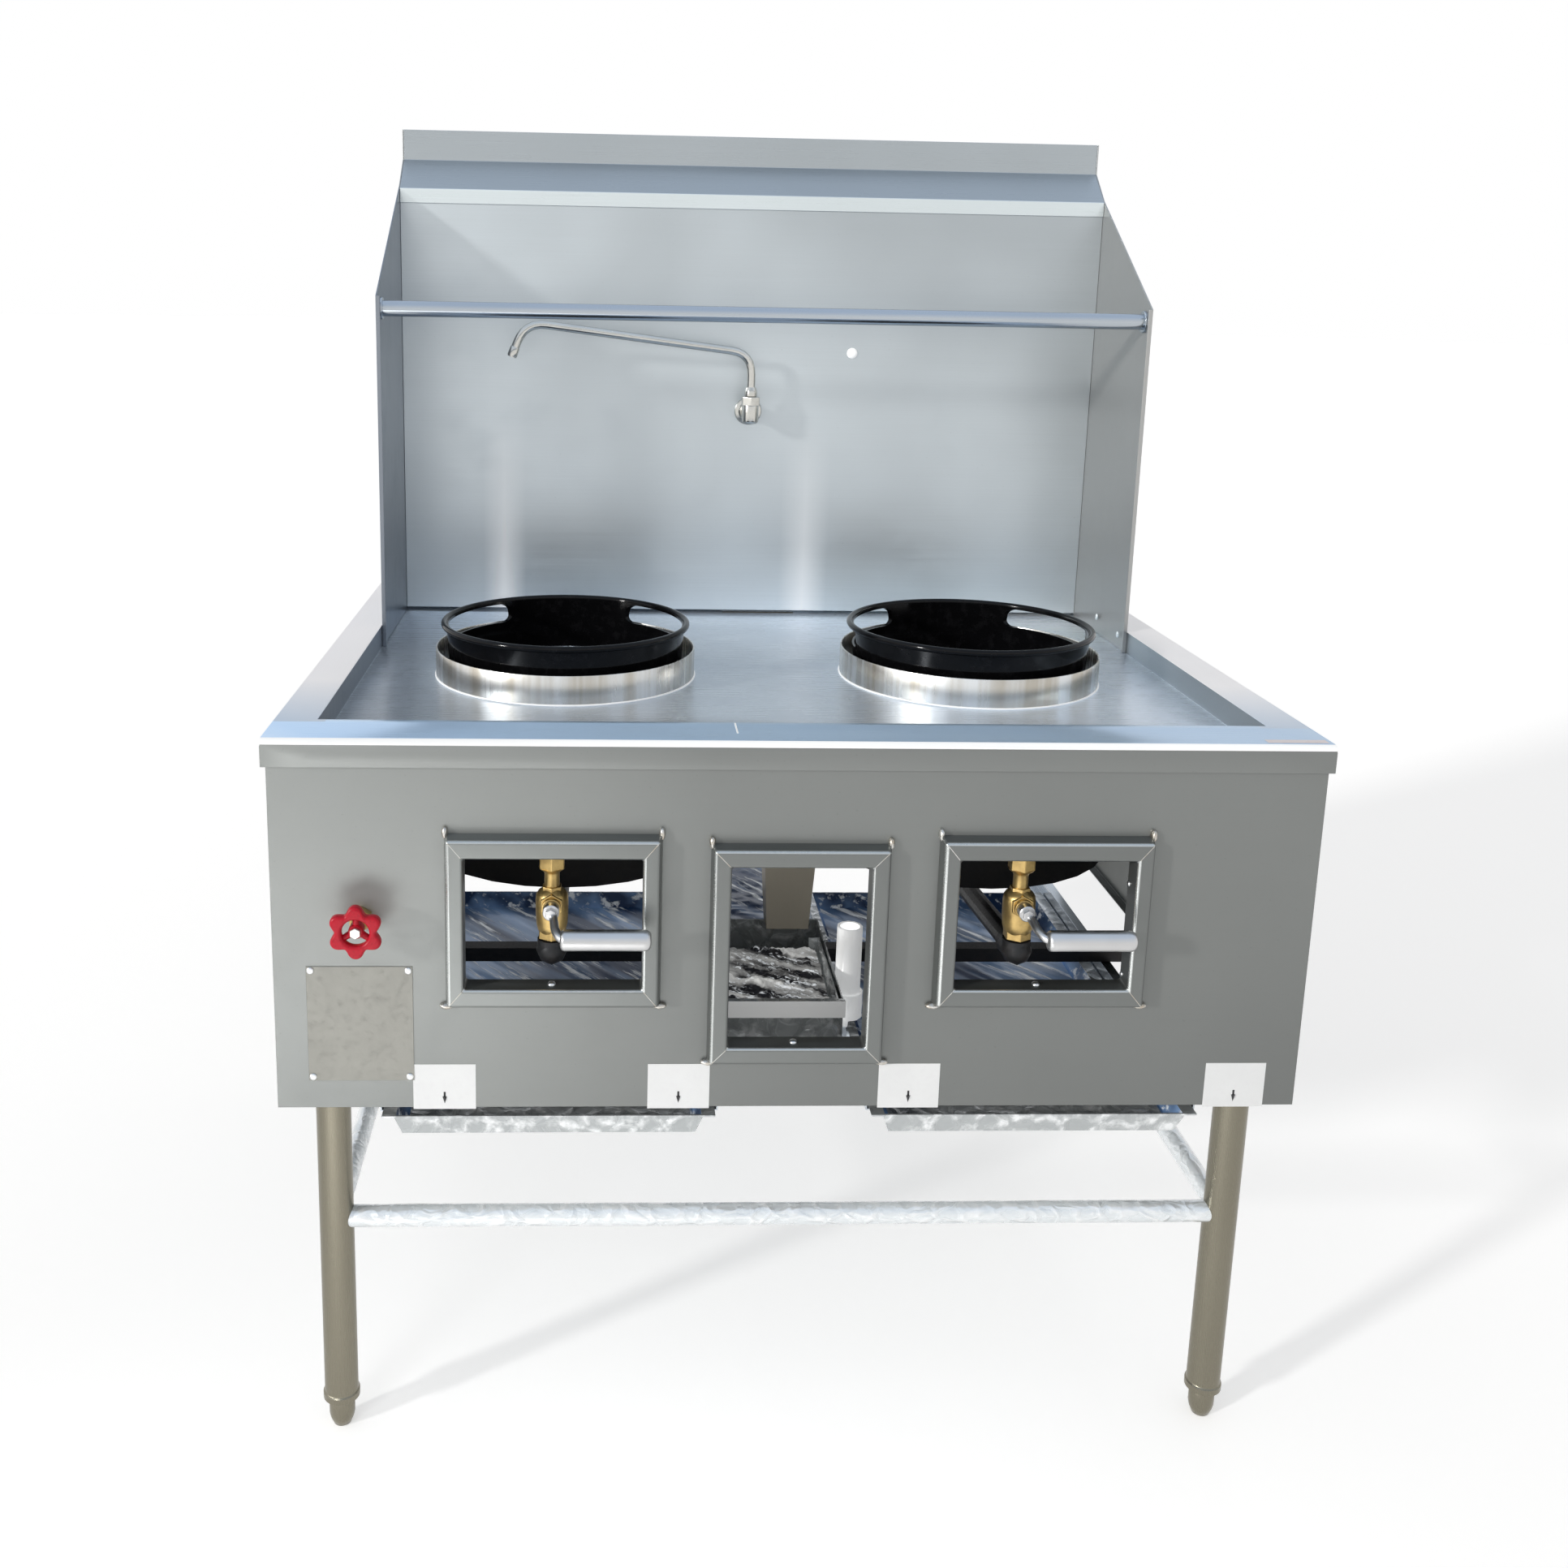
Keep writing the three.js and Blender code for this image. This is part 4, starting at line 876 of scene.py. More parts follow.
# ---- window frames ----
print("window frames")
frameShape = {
    "base": 4.6, "front": -14, "slope": 3.4, "sleeveEnd": 15.8, "thick": 1.9, "round": 3.6, "blob": 4,
    "upperBlob": (0.9, 1.3, 1.9), "lowerBlob": (2.1, 1.1, 0.9),
    "windows": {
        "left": (-283, 691, (204, 158), (248, 208)),
        "center": (0, 650, (161, 222), (207, 269)),
        "right": (283, 691, (204, 158), (248, 208)),
    },
}


# Picks the faces whose centre passes a test.
def pickFaces(piece, test):
    bpy.ops.mesh.select_all(action="DESELECT")
    backToObject()
    for face in piece.data.polygons:
        face.select = test(face)
    bpy.ops.object.mode_set(mode="EDIT")


# One sheet drawn forward from the panel, folded flat and folded back through the cut-out.
def dressFrame(name):
    shape = frameShape
    x, z, (openWidth, openHeight), (width, height) = shape["windows"][name]
    base, front, slope = shape["base"], shape["front"], shape["slope"]
    centre = at(x, base, z)
    piece = addShape(
        bpy.ops.mesh.primitive_plane_add, f"window_frame_{name}_formed", size=1, location=centre,
        rotation=(math.pi / 2, 0, 0),
    )
    piece.scale = (mm(width), mm(height), 1)
    applyPlace(piece)
    editAll(piece)
    extrudeBy((0, mm(front - base), 0))
    faceWidth, faceHeight = width - 2 * slope, height - 2 * slope
    bpy.ops.transform.resize(value=(faceWidth / width, 1, faceHeight / height), center_override=centre)
    extrudeBy((0, 0, 0))
    bpy.ops.transform.resize(
        value=(openWidth / faceWidth, 1, openHeight / faceHeight), center_override=centre,
    )
    extrudeBy((0, mm(shape["sleeveEnd"] - front), 0))
    ends = (at(0, base, 0).y, at(0, shape["sleeveEnd"], 0).y)
    pickFaces(piece, lambda face: min(abs(face.center.y - end) for end in ends) < mm(0.1))
    bpy.ops.mesh.delete(type="FACE")
    turnFacesOut()
    faceDown = max(piece.data.polygons, key=lambda face: -face.center.y)
    if faceDown.normal.y > 0:
        editAll(piece)
        bpy.ops.mesh.flip_normals()
        backToObject()
    roundEdges(piece, shape["round"], 4, 40)
    shell = piece.modifiers.new("sheet", "SOLIDIFY")
    shell.thickness = mm(shape["thick"])
    shell.offset = -1
    applyModifiers(piece)
    smooth(piece, 50)
    steadyNormals(piece)
    edgeBack = at(0, front + 4, 0).y

    # Painted highlight: the eased upper and left edges at the front take the lighter edge steel.
    def onLitEdge(face):
        lean = face.normal
        return 0.1 < abs(lean.y) < 0.985 and (lean.x < -0.2 or lean.z > 0.2) and face.center.y < edgeBack

    paintFaces(piece, ("frameSteel", "frameEdge"), onLitEdge)
    place(piece, "range_body", "sheet_steel", f"window_frame_{name}")


# Ground welds across the frame's mitres and a bead at each corner of its foot.
def addFrameWelds(name):
    shape = frameShape
    x, z, (openWidth, openHeight), (width, height) = shape["windows"][name]
    front, slope = shape["front"], shape["slope"]
    beads = []
    for across, up in ((-1, 1), (1, 1), (-1, -1), (1, -1)):
        start = at(x + across * (width / 2 - slope - 2), front + 0.3, z + up * (height / 2 - slope - 2))
        end = at(x + across * (openWidth / 2 + 2), front + 0.3, z + up * (openHeight / 2 + 2))
        beads.append(roundBar("mitreWeld", start, end, 0.5, 0, 8))
        corner = at(x + across * (width / 2 - 1), 2, z + up * (height / 2 + 1.5))
        blob = addShape(
            bpy.ops.mesh.primitive_ico_sphere_add, "cornerWeld", subdivisions=3, radius=mm(shape["blob"]),
            location=corner,
        )
        blob.scale = shape["upperBlob"] if up > 0 else shape["lowerBlob"]
        applyPlace(blob)
        wobble(blob, 1.4, 4)
        smooth(blob, 80)
        beads.append(blob)
    settle(joinPieces(f"frame_welds_{name}", beads), "sheet_steel", "weldBead")
    rivetLow = rivet("sleeveRivet", at(x - 2, 3, z - openHeight / 2), upright, 4.8, 2.8)
    settle(rivetLow, "chrome", "rivetSteel")


for name in frameShape["windows"]:
    dressFrame(name)
    addFrameWelds(name)


# ---- legs ----
print("legs")
legShape = {"radius": 20.65, "ring": 22.5, "ringLow": 38, "ringHigh": 48, "foot": 15.8, "toe": 11}


def dressLeg(row, side):
    legNode, footNode = f"leg_{row}_{side}", f"foot_{row}_{side}"
    low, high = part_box(legNode)
    origin = Vector(((low.x + high.x) / 2, (low.y + high.y) / 2, 0))
    top = high.z * 1000
    radius, ring = legShape["radius"], legShape["ring"]
    ringLow, ringHigh = legShape["ringLow"], legShape["ringHigh"]
    tube = turnedPiece(legNode + "_tube", [
        (9, ringLow + 0.6), (ring - 1.2, ringLow), (ring, ringLow + 1.2), (ring, ringHigh - 1.4),
        (ring - 1.2, ringHigh), (radius + 0.3, ringHigh + 0.4), (radius, ringHigh + 2), (radius, top),
        (radius - 2, top), (radius - 2, ringHigh), (9, ringHigh),
    ], origin, closed=True)
    settle(tube, "tube_steel", "tubeSteel", legNode)
    foot, toe = legShape["foot"], legShape["toe"]
    bullet = turnedPiece(footNode + "_bullet", [
        (0, 0), (toe - 1, 0), (toe, 0.8), (foot - 1.4, 9), (foot, 15.5), (foot, 31.5), (foot - 0.6, 33.2),
        (foot - 2, 37.4), (8.1, 37.5), (8.1, 99), (7.4, 100), (0, 100),
    ], origin)
    settle(bullet, "tube_steel", "tubeSteel", footNode, body=footNode)


for row in ("front", "rear"):
    for side in ("left", "right"):
        dressLeg(row, side)

stretcherShape = {"radius": 13.3, "crumple": 0.7, "crumpleSize": 30, "crumpleMiddle": 0.6, "rings": 48}


# Tube wrapped in crumpled film.
def dressStretcher(name, axis):
    shape = stretcherShape
    low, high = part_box("stretcher_" + name)
    centre = (low + high) / 2
    start, end = centre.copy(), centre.copy()
    start[axis], end[axis] = low[axis], high[axis]
    run = (end - start).normalized()
    tube = roundBar("stretcher_" + name + "_tube", start, end, shape["radius"], 0, 48)
    for ring in range(1, shape["rings"]):
        cutBy(tube, start + (end - start) * ring / shape["rings"], run)
    wobble(tube, shape["crumple"], shape["crumpleSize"], shape["crumpleMiddle"])
    smooth(tube, 60)
    settle(tube, "galvanised", "filmTube", "stretcher_" + name)


for name, axis in (("front", 0), ("rear", 0), ("left", 1), ("right", 1)):
    dressStretcher(name, axis)


# ---- splash: pot rail, plug, faucet ----
print("splash")


railShape = {"radius": 11.4, "boss": 16, "bossDepth": 5}


def dressPotRail():
    low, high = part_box("pot_rail")
    centre = (low + high) / 2
    start, end = Vector((low.x, centre.y, centre.z)), Vector((high.x, centre.y, centre.z))
    depth = Vector((mm(railShape["bossDepth"]), 0, 0))
    parts = [
        roundBar("potRailTube", start, end, railShape["radius"], 0),
        roundBar("potRailBoss", start, start + depth, railShape["boss"], 1.2),
        roundBar("potRailBoss", end, end - depth, railShape["boss"], 1.2),
    ]
    settle(joinPieces("pot_rail_tube", parts), "chrome", "railSteel", "pot_rail")


dressPotRail()

faucetShape = {
    "x": -2, "z": 1210, "pivotY": 795, "tube": 6.5, "wallY": 839.7, "backY": 860, "tip": 16,
    "arm": [(0, 0, 27), (0, 0, 94), (-355, -55, 138), (-375, -58, 85)], "bend": 34,
    "rosette": [(0, 0), (22, 0), (22, 1.5), (20.5, 3.8), (16, 5), (13.5, 9), (12.6, 20), (12.4, 44), (0, 44)],
    "column": [(0, -16), (10, -16), (12.4, -14), (13, -12), (13, 14), (11.5, 17), (11.5, 26), (0, 26)],
    "shank": [(0, 0), (9.8, 0), (9.8, 20), (0, 20)],
    "ferrule": [(0, 26.3), (9, 26.3), (10, 27.3), (10, 34), (9, 37), (7.4, 41), (0, 41)],
    "aerator": [(0, 0), (6.5, 0), (7.4, 1.2), (7.6, 13), (7.0, 15), (5.4, 15), (5.2, 12), (0, 12)],
}


def dressFaucet():
    shape = faucetShape
    x, z, pivotY = shape["x"], shape["z"], shape["pivotY"]
    pivot = at(x, pivotY, z)
    parts = [
        turnedPiece("rosette", shape["rosette"], at(x, shape["wallY"], z), toFront),
        turnedPiece("column", shape["column"], pivot),
        roundBar("packingNut", at(x, pivotY, z + 12), at(x, pivotY, z + 25.8), 15.8, 1.0, 6),
        turnedPiece("shank", shape["shank"], at(x, shape["backY"], z), toFront),
    ]
    casting = joinPieces("faucet_body_casting", parts)
    settle(casting, "chrome", "nickelPlate", "faucet_body")
    corners = [at(x + dx, pivotY + dy, z + dz) for dx, dy, dz in shape["arm"]]
    tip = corners[-1]
    run = (tip - corners[-2]).normalized()
    spout = joinPieces("faucet_spout_tube", [
        tubeAlong("spoutTube", filletedPath(corners, mm(shape["bend"])), shape["tube"], 7),
        turnedPiece("spoutFerrule", shape["ferrule"], pivot),
        turnedPiece("spoutAerator", shape["aerator"], tip - run * mm(shape["tip"]), run),
    ])
    settle(spout, "chrome", "nickelPlate", "faucet_spout", body="faucet_spout")


dressFaucet()


plugShape = {"place": (164, 839.8, 1305), "radius": 8.6, "height": 3.4}


def addHolePlug():
    spot = at(*plugShape["place"])
    plug = rivet("splash_hole_plug", spot, toFront, plugShape["radius"], plugShape["height"])
    settle(plug, "white_plastic", "brightPipe")


addHolePlug()


# ---- wells ----
print("wells")
wellShape = {
    "y": 436, "spacing": 283, "deck": 874, "collar": 179.5, "collarWall": 2.5, "collarHeight": 40,
    "bandLow": 160, "bandHigh": 165, "wall": 3.2, "rise": 72, "hoop": 167.5, "wire": 4.4,
    "windowFront": -18, "windowBack": 137, "windowLow": 42, "windowHigh": 69,
    "weld": 1.3, "weldHeight": 1,
}


def wireLoop(name, centre, radius, thickness, around, across):
    loop = addShape(
        bpy.ops.mesh.primitive_torus_add, name, location=centre, major_radius=mm(radius),
        minor_radius=mm(thickness), major_segments=around, minor_segments=across,
    )
    applyPlace(loop)
    return loop


def dressCollar(side, sign):
    shape = wellShape
    origin = at(sign * shape["spacing"], shape["y"], shape["deck"])
    outer, height = shape["collar"], shape["collarHeight"]
    inner = outer - shape["collarWall"]
    wall = turnedPiece(f"collar_{side}_wall", [
        (outer, 0.3), (outer, height - 0.9), (outer - 0.4, height - 0.2), (outer - 1.25, height),
        (inner + 0.4, height - 0.2), (inner, height - 0.9), (inner, 0.3),
    ], origin, steps=128, closed=True)
    settle(wall, "sheet_steel", "collarSteel", f"collar_{side}")
    weldPlace = origin + upright * mm(shape["weldHeight"])
    bead = wireLoop(f"collar_{side}_weld", weldPlace, outer + 0.3, shape["weld"], 220, 8)
    wobble(bead, 0.3, 3)
    smooth(bead, 60)
    # Painted highlight: the bead takes the bright, glowing lip steel.
    settle(bead, "sheet_steel", "lipSteel")


def dressWokRing(side, sign):
    shape = wellShape
    origin = at(sign * shape["spacing"], shape["y"], shape["deck"])
    low, high = shape["bandLow"], shape["bandHigh"]
    wall, rise = shape["wall"], shape["rise"]
    band = turnedPiece(f"wok_ring_{side}_band", [
        (low - wall, 0.4), (low, 0.4), (high, rise), (high - wall, rise),
    ], origin, steps=128, closed=True)
    front, back = mm(shape["windowFront"]), mm(shape["windowBack"])
    sill, head = mm(shape["windowLow"]), mm(shape["windowHigh"])
    for end in (-1, 1):
        cutter = easedBox(
            "windowCutter",
            origin + Vector((min(end * mm(20), end * mm(200)), front, sill)),
            origin + Vector((max(end * mm(20), end * mm(200)), back, head)),
            10, 6,
        )
        boolean = band.modifiers.new("window", "BOOLEAN")
        boolean.object = cutter
        boolean.operation = "DIFFERENCE"
        applyModifiers(band)
        bpy.data.objects.remove(cutter)
    roundEdges(band, 0.7, 2, 40)
    hoop = wireLoop("wokRingHoop", origin + upright * mm(rise), shape["hoop"], shape["wire"], 144, 16)
    smooth(hoop, 80)
    node = f"wok_ring_{side}"
    ring = joinPieces(node + "_enamelled", [band, hoop])
    settle(ring, "black_enamel", "blackEnamel", node, body=node)


for side, sign in (("left", -1), ("right", 1)):
    dressCollar(side, sign)
    dressWokRing(side, sign)
    dressCopy(f"chamber_{side}", "cast_iron", "castIron", 0, 40)
    dressCopy(f"burner_{side}", "cast_iron", "castIron", 0, 40)


# ---- gas and water fittings ----
print("fittings")
pipePieces = {
    "gas_pipe_left": ("black_iron", "blackIron"),
    "gas_pipe_right": ("black_iron", "blackIron"),
    "gas_manifold": ("black_iron", "blackIron"),
    "water_supply_pipe": ("chrome", "nickelPlate"),
    "faucet_pipe": ("chrome", "nickelPlate"),
    "drain_pipe": ("white_plastic", "brightPipe"),
    "water_valve": ("brass", "castBrass"),
}
for node, look in pipePieces.items():
    dressCopy(node, *look, 0, 45)

valveShape = {"x": {"left": -286, "right": 264}, "y": 35, "stem": 702, "low": 656, "high": 767}


def dressGasValve(side):
    shape = valveShape
    x, y, stem, low, high = shape["x"][side], shape["y"], shape["stem"], shape["low"], shape["high"]
    parts = [
        turnedPiece("valveBody", [
            (0, low), (12, low), (13, low + 1), (13.5, low + 7), (16.5, low + 11), (18.2, stem - 28),
            (19, stem - 16), (19.2, stem + 1), (18.4, stem + 8), (16, stem + 12), (11.5, stem + 15),
            (9, stem + 18), (8.8, stem + 34), (10, stem + 37), (14.5, stem + 40), (15.5, stem + 42),
            (0, stem + 42),
        ], at(x, y, 0), steps=40),
        roundBar("flareNut", at(x, y, stem + 41), at(x, y, high), 16.5, 1.2, 6),
        roundBar("neckNut", at(x, y, stem + 12), at(x, y, stem + 19), 12.5, 0.9, 6),
        roundBar("bodyHex", at(x, y, low + 1), at(x, y, low + 12), 17, 1.2, 6),
        roundBar("bonnetHex", at(x, y, stem), at(x, 16, stem), 14, 1.0, 6),
        roundBar("bonnetStem", at(x, y, stem), at(x, 10, stem), 11, 0.8, 32),
    ]
    piece = joinPieces(f"gas_valve_{side}_brass", parts)
    settle(piece, "brass", "castBrass", f"gas_valve_{side}")


leverShape = {"start": 12, "end": 114, "y": -45, "drop": 14, "radius": 12, "rod": 5}


def dressLever(side):
    x, stem = valveShape["x"][side], valveShape["stem"]
    shape = leverShape
    gripZ = stem - shape["drop"]
    length = shape["end"] - shape["start"]
    radius = shape["radius"]
    grip = turnedPiece("leverGrip", [
        (0, 0), (7, 0), (9.5, 0.8), (11.4, 2.6), (radius, 5), (radius - 0.2, 30), (radius, length - 9),
        (11.5, length - 4.5), (9.6, length - 1.4), (7, length), (0, length),
    ], at(x + shape["start"], shape["y"], gripZ), Vector((1, 0, 0)), steps=48)
    crank = tubeAlong("leverCrank", [
        at(x + 1, 3, stem - 1), at(x + 4, -14, stem - 5), at(x + 7, -31, stem - 10),
        at(x + 15, -43, gripZ), at(x + 30, shape["y"], gripZ),
    ], shape["rod"], smoothness=8)
    hub = turnedPiece("leverHub", [(0, 0), (8.6, 0), (9.5, 0.9), (9.5, 12.6), (8.6, 13.5), (0, 13.5)],
                      at(x, 9.7, stem), toFront, steps=36)
    nut = roundBar("leverNut", at(x, -3.5, stem), at(x, -8.9, stem), 6.5, 0.7, 6)
    node = f"gas_lever_{side}"
    piece = joinPieces(node + "_crank", [grip, crank, hub, nut])
    settle(piece, "chrome", "leverSteel", node, body=node)


for side in ("left", "right"):
    dressGasValve(side)
    dressLever(side)

wheelShape = {
    "x": -502, "z": 693, "radius": 27.5, "lobe": 4.0, "lobes": 6, "hole": 15.5, "back": -29, "front": -41,
    "fullness": 0.22, "edge": 4.8, "spoke": 3.6, "spokeRoot": 4.4,
    "hub": [(0, 0), (7.6, 0), (8.5, 1), (8.5, 12.5), (7.4, 14), (0, 14)],
}


# Six-lobed rim: a ring of vertices pulled out in lobes, extruded inwards and then in depth.
def wheelRim():
    shape = wheelShape
    rim = addShape(
        bpy.ops.mesh.primitive_circle_add, "wheelRim", vertices=120, radius=1, fill_type="NOTHING",
        location=(0, 0, 0),
    )
    for vertex in rim.data.vertices:
        angle = math.atan2(vertex.co.y, vertex.co.x)
        wave = math.cos(shape["lobes"] * (angle - math.pi / 2))
        reach = shape["radius"] + shape["lobe"] * (wave + shape["fullness"] * (1 - wave * wave))
        vertex.co = vertex.co.normalized() * mm(reach)
    editAll(rim)
    bpy.ops.mesh.extrude_edges_move()
    backToObject()
    for vertex in rim.data.vertices:
        if vertex.select:
            vertex.co = vertex.co.normalized() * mm(shape["hole"])
    editAll(rim)
    depth = shape["back"] - shape["front"]
    extrudeBy((0, 0, mm(depth)))
    turnFacesOut()
    roundEdges(rim, shape["edge"], 5, 50)
    return rim


def dressHandwheel():
    shape = wheelShape
    x, z = shape["x"], shape["z"]
    rim = wheelRim()
    turn = Matrix((Vector((1, 0, 0)), Vector((0, 0, 1)), toFront)).transposed().to_4x4()
    rim.matrix_world = Matrix.Translation(at(x, shape["back"], z)) @ turn
    applyPlace(rim)
    parts = [rim]
    for degrees in (90, 210, 330):
        angle = math.radians(degrees)
        reach = shape["hole"] + 2
        end = at(x + reach * math.cos(angle), shape["back"] - 4, z + reach * math.sin(angle))
        start = at(x, shape["back"] - 1, z)
        parts.append(roundBar("wheelSpoke", start, end, shape["spokeRoot"], 0.5, 16, shape["spoke"]))
    parts.append(turnedPiece("wheelHub", shape["hub"], at(x, -22, z), toFront, steps=36))
    wheel = joinPieces("handwheel_red", parts)
    settle(wheel, "red_paint", "redPaint", "handwheel", body="handwheel")
    stem = [
        roundBar("wheelStem", at(x, -8.3, z), at(x, -24, z), 4, 0, 24),
        roundBar("wheelNut", at(x, -35.6, z), at(x, -41, z), 6.6, 0.8, 6),
    ]
    settle(joinPieces("handwheel_nut", stem), "chrome", "nickelPlate", body="handwheel")


dressHandwheel()


# ---- trays and basket ----
print("trays")


trayShape = {
    "x": {"left": -288, "right": 295}, "half": 170, "y": (30, 684), "film": 416.5, "paleTo": 395,
    "silverTo": 85, "turn": 0.9, "wrinkle": 6.0,
}
looseFilm = {"x": (-98, 46), "y": (440, 790), "z": 456, "tilt": 5, "wrinkle": 8}
basketShape = {"x": (-70, 60), "y": (112, 279), "film": 531, "crumple": (17, 7)}


# Keeps the part of a sheet between two planes square to an axis.
def trim(piece, axis, low, high):
    for limit, side in ((low, -1), (high, 1)):
        normal = Vector((0, 0, 0))
        normal[axis] = side
        cutBy(piece, normal * side * limit, normal, True)


# A flat grid of the given cells, scaled, turned and moved to its place.
def gridSheet(name, cells, scale=(1, 1), turn=(0, 0, 0), origin=(0, 0, 0)):
    sheet = addShape(
        bpy.ops.mesh.primitive_grid_add, name, x_subdivisions=cells[0], y_subdivisions=cells[1],
        size=1, location=(0, 0, 0),
    )
    moveSheet(sheet, scale, turn, origin)
    return sheet


def moveSheet(sheet, scale, turn, origin):
    sheet.scale = (*scale, 1)
    sheet.rotation_euler = turn
    sheet.location = origin
    applyPlace(sheet)


# Wrinkled sheet of film lying in the tray; its wrinkles are made round, then pulled out aslant.
def addTrayFilm(side):
    shape = trayShape
    x, (front, back) = shape["x"][side], shape["y"]
    sheet = gridSheet(f"tray_film_{side}", (60, 170), (0.05, 0.5))
    wobble(sheet, shape["wrinkle"], 4.5)
    moveSheet(sheet, (22, 2.2), (0, 0, -shape["turn"]), at(x, (front + back) / 2, shape["film"]))
    trim(sheet, 0, mm(x - shape["half"]), mm(x + shape["half"]))
    trim(sheet, 1, at(0, front, 0).y, at(0, back, 0).y)
    paleTo, silverTo = at(0, shape["paleTo"], 0).y, at(0, shape["silverTo"], 0).y
    for border in (paleTo, silverTo):
        cutBy(sheet, (0, border, 0), (0, 1, 0))
    smooth(sheet, 70)
    paintFaces(
        sheet, ("filmBlue", "filmPale", "filmTray"),
        lambda face: (face.center.y < paleTo) + (face.center.y < silverTo),
    )
    place(sheet, f"drip_tray_{side}", "galvanised")


# Loose sheet of film that hangs over the inner runner of the left tray.
def addLooseFilm():
    (left, right), (front, back) = looseFilm["x"], looseFilm["y"]
    sheet = gridSheet(
        "loose_film", (24, 110), (mm(right - left), mm(back - front)),
        (0, math.radians(looseFilm["tilt"]), 0),
        at((left + right) / 2, (front + back) / 2, looseFilm["z"]),
    )
    wobble(sheet, looseFilm["wrinkle"], 24)
    smooth(sheet, 70)
    settle(sheet, "galvanised", "filmBlue")


# Bunch of thin film in the basket.
def addBasketFilm():
    (left, right), (front, back) = basketShape["x"], basketShape["y"]
    broad, fine = basketShape["crumple"]
    bunch = gridSheet(
        "basket_film", (110, 140), (mm(right - left), mm(back - front)), (0, 0, 0),
        at((left + right) / 2, (front + back) / 2, basketShape["film"]),
    )
    wobble(bunch, broad, 26)
    wobble(bunch, fine, 7)
    trim(bunch, 0, mm(left), mm(right))
    trim(bunch, 1, at(0, front, 0).y, at(0, back, 0).y)
    smooth(bunch, 50)
    settle(bunch, "galvanised", "filmCrinkle", body="strainer_basket")


# True for faces that look into the hollow of a pan whose rim is at the given height.
def looksInside(face, centre, rim):
    away = face.center - centre
    inward = away.x * face.normal.x + away.y * face.normal.y < -mm(1) or face.normal.z > 0.5
    return inward and face.center.z < rim - mm(4)


# The film outside the tray is silvery; inside it is painted in shade, dark with painted pale reflections and
# glints.
def dressTray(side):
    node = f"drip_tray_{side}"
    low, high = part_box(node)
    centre = (low + high) / 2
    dressInTwo(
        node, "galvanised", ("filmTray", "filmBlue"), lambda face: looksInside(face, centre, high.z), node,
    )


# Catch box: bare lip at the front, painted bright with a glow, film on the rest.
boxLip = {"low": 520, "back": 103}


def dressBox():
    low, back = mm(boxLip["low"]), at(0, boxLip["back"], 0).y
    dressInTwo(
        "strainer_box", "galvanised", ("filmTray", "lipSteel"),
        lambda face: face.center.z > low and face.center.y < back,
    )


for side in ("left", "right"):
    dressTray(side)
    addTrayFilm(side)
dressBox()
addLooseFilm()
dressCopy("strainer_basket", "galvanised", "filmTray", 0.5, body="strainer_basket")
addBasketFilm()


# ---- plate, labels, rivets ----
print("small details")
panelFace = 5
plateShape = {"x": (-567, -445), "z": (490, 633), "thick": 0.8}
labelShape = {"centres": [-410, -135.5, 138, 530.5], "width": 73, "z": (453, 510), "thick": 0.35}


def addPlate():
    (left, right), (low, high) = plateShape["x"], plateShape["z"]
    face = panelFace - plateShape["thick"]
    plate = easedBox("blank_plate", at(left, face, low), at(right, panelFace, high), 0.3)
    settle(plate, "sheet_steel", "plateSteel")
    rivets = [
        rivet("plateRivet", at(x, face, z), toFront, 4.3, 2.2)
        for x in (left + 5, right - 5) for z in (low + 5, high - 5)
    ]
    settle(joinPieces("plate_rivets", rivets), "chrome", "rivetSteel")


def addLabels():
    low, high = labelShape["z"]
    half = labelShape["width"] / 2
    face = panelFace - labelShape["thick"]
    labels = [
        easedBox("label", at(x - half, face, low), at(x + half, panelFace, high), 0.1, 1)
        for x in labelShape["centres"]
    ]
    settle(joinPieces("blank_labels", labels), "white_plastic", "labelPaper")
    arrows = []
    for x in labelShape["centres"]:
        shaftLow, shaftHigh = at(x - 1.2, face - 0.15, low + 12), at(x + 1.2, face, low + 22)
        shaft = easedBox("arrowShaft", shaftLow, shaftHigh, 0.02, 1)
        head = roundBar("arrowHead", at(x, face + 0.2, low + 7), at(x, face + 0.2, low + 16), 0.2, 0, 4, 2.8)
        arrows += [shaft, head]
    settle(joinPieces("label_arrows", arrows), "black_enamel", "inkBlack")


# Strip of tape and ground seam on the front rim: slot, finish, low and high corner.
rimMarks = {
    "rim_tape": ("white_plastic", "rimTape", (533, 11, 906), (604, 23, 906.3)),
    "rim_seam": ("sheet_steel", "lipSteel", (-75.5, 34, 906), (-73.5, 76, 906.3)),
}


def addRimMarks():
    for name, (slot, look, low, high) in rimMarks.items():
        settle(easedBox(name, at(*low), at(*high), 0.1, 1), slot, look)


# Rivets seen beside the right window and in the right splash wing: place and radius.
sideRivets = [
    ((385, 12, 621), 3.4), ((385, 12, 734), 3.4), ((553.2, 709, 902), 5), ((553.2, 605, 897), 5),
]


def addSideRivets():
    towardsLeft = Vector((-1, 0, 0))
    rivets = [rivet("sideRivet", at(*origin), towardsLeft, radius, 1.8) for origin, radius in sideRivets]
    settle(joinPieces("side_rivets", rivets), "chrome", "rivetSteel")


addPlate()
addLabels()
addRimMarks()
addSideRivets()


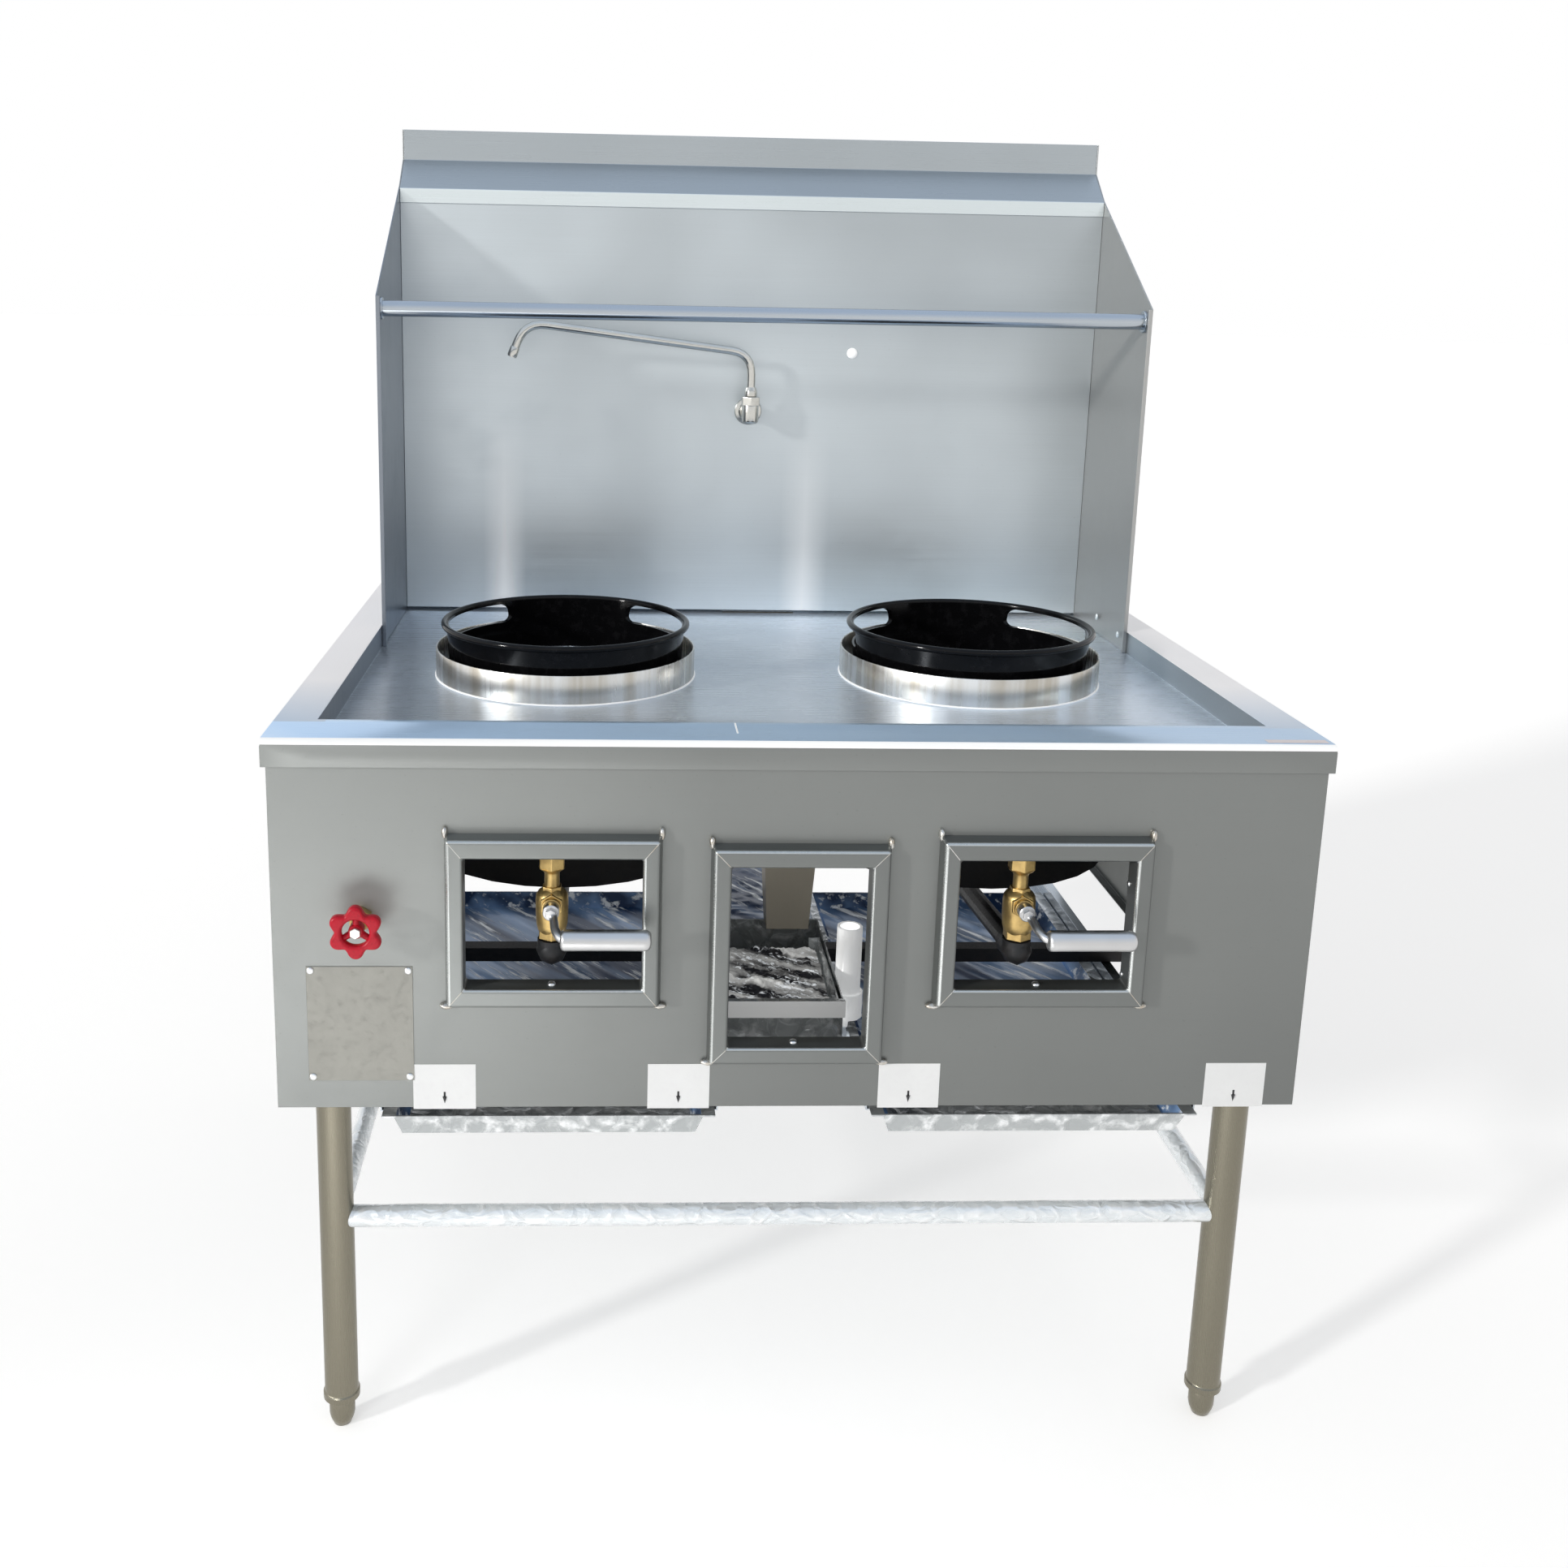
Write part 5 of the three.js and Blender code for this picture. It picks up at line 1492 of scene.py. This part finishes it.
# ---- stage and light ----
print("stage")
stageShape = {
    "radius": 60.0, "floorColor": (0.9, 0.9, 0.9, 1), "floorRoughness": 0.8, "floorGlow": 0.38,
}
lightShape = {
    "fill": 0.54, "zenith": (0.68, 0.79, 0.95, 1), "skyFrom": 0.12, "skyTo": 0.85,
    "sunColor": (1.0, 0.985, 0.96),
    "sun": 1.8, "sunSoftness": 5, "sunTravel": (0.8, 0.5, -0.27),
    "poolPlace": (-1.15, -2.0, 0.95), "poolTarget": (-0.7, -1.65, 0.0),
    "poolSize": (0.9, 0.9), "poolPower": 9, "poolSpread": 75,
}


# 1 where a ray from the camera, a mirror or glass looks, 0 for the light that falls on the object.
def lookedAt(tree):
    path = addNode(tree, "ShaderNodeLightPath").outputs
    seen = mathNode(tree, "MAXIMUM", path["Is Camera Ray"], path["Is Glossy Ray"])
    return mathNode(tree, "MAXIMUM", seen, path["Is Transmission Ray"])


def makeFloor():
    floor = addShape(
        bpy.ops.mesh.primitive_circle_add, "floor", vertices=96, radius=stageShape["radius"],
        fill_type="NGON", location=(0, 0, 0),
    )
    material, tree = newFinish("paleFloor", **{
        "Base Color": stageShape["floorColor"], "Roughness": stageShape["floorRoughness"],
        "Specular IOR Level": 0.2, "Emission Color": (1, 1, 1, 1),
    })
    glow = mathNode(tree, "MULTIPLY", lookedAt(tree), stageShape["floorGlow"])
    tree.links.new(glow, principled(material).inputs["Emission Strength"])
    floor.data.materials.append(material)


def makeWorld():
    world = bpy.data.worlds.new("studio")
    bpy.context.scene.world = world
    world.use_nodes = True
    tree = world.node_tree
    background = tree.nodes["Background"]
    coordinates = addNode(tree, "ShaderNodeTexCoord")
    parts = addNode(tree, "ShaderNodeSeparateXYZ")
    tree.links.new(coordinates.outputs["Generated"], parts.inputs[0])
    height = ramp(tree, parts.outputs["Z"], lightShape["skyFrom"], lightShape["skyTo"])
    mirrored = addNode(tree, "ShaderNodeLightPath").outputs["Is Glossy Ray"]
    sky = mixColor(tree, mathNode(tree, "MULTIPLY", height, mirrored), (1, 1, 1, 1), lightShape["zenith"])
    tree.links.new(sky, background.inputs["Color"])
    strength = ramp(tree, lookedAt(tree), 0.0, 1.0, lightShape["fill"], 1.0)
    tree.links.new(strength, background.inputs["Strength"])


def addLamp(name, kind, energy, travel, origin=(0, 0, 0)):
    data = bpy.data.lights.new(name, kind)
    data.energy = energy
    lamp = bpy.data.objects.new(name, data)
    bpy.context.scene.collection.objects.link(lamp)
    lamp.location = origin
    lamp.rotation_euler = Vector(travel).to_track_quat("-Z", "Y").to_euler()
    return lamp, data


# Soft sun from the upper left, and a lamp on the floor that the left of the panel mirrors.
def addLamps():
    shape = lightShape
    sun = addLamp("softSun", "SUN", shape["sun"], shape["sunTravel"])[1]
    sun.angle = math.radians(shape["sunSoftness"])
    sun.color = shape["sunColor"]
    travel = Vector(shape["poolTarget"]) - Vector(shape["poolPlace"])
    lamp, pool = addLamp("poolLamp", "AREA", shape["poolPower"], travel, shape["poolPlace"])
    pool.shape = "RECTANGLE"
    pool.size, pool.size_y = shape["poolSize"]
    pool.spread = math.radians(shape["poolSpread"])
    lamp.visible_camera = False


makeFloor()
makeWorld()
addLamps()
scene = bpy.context.scene
scene.view_settings.view_transform = "Standard"
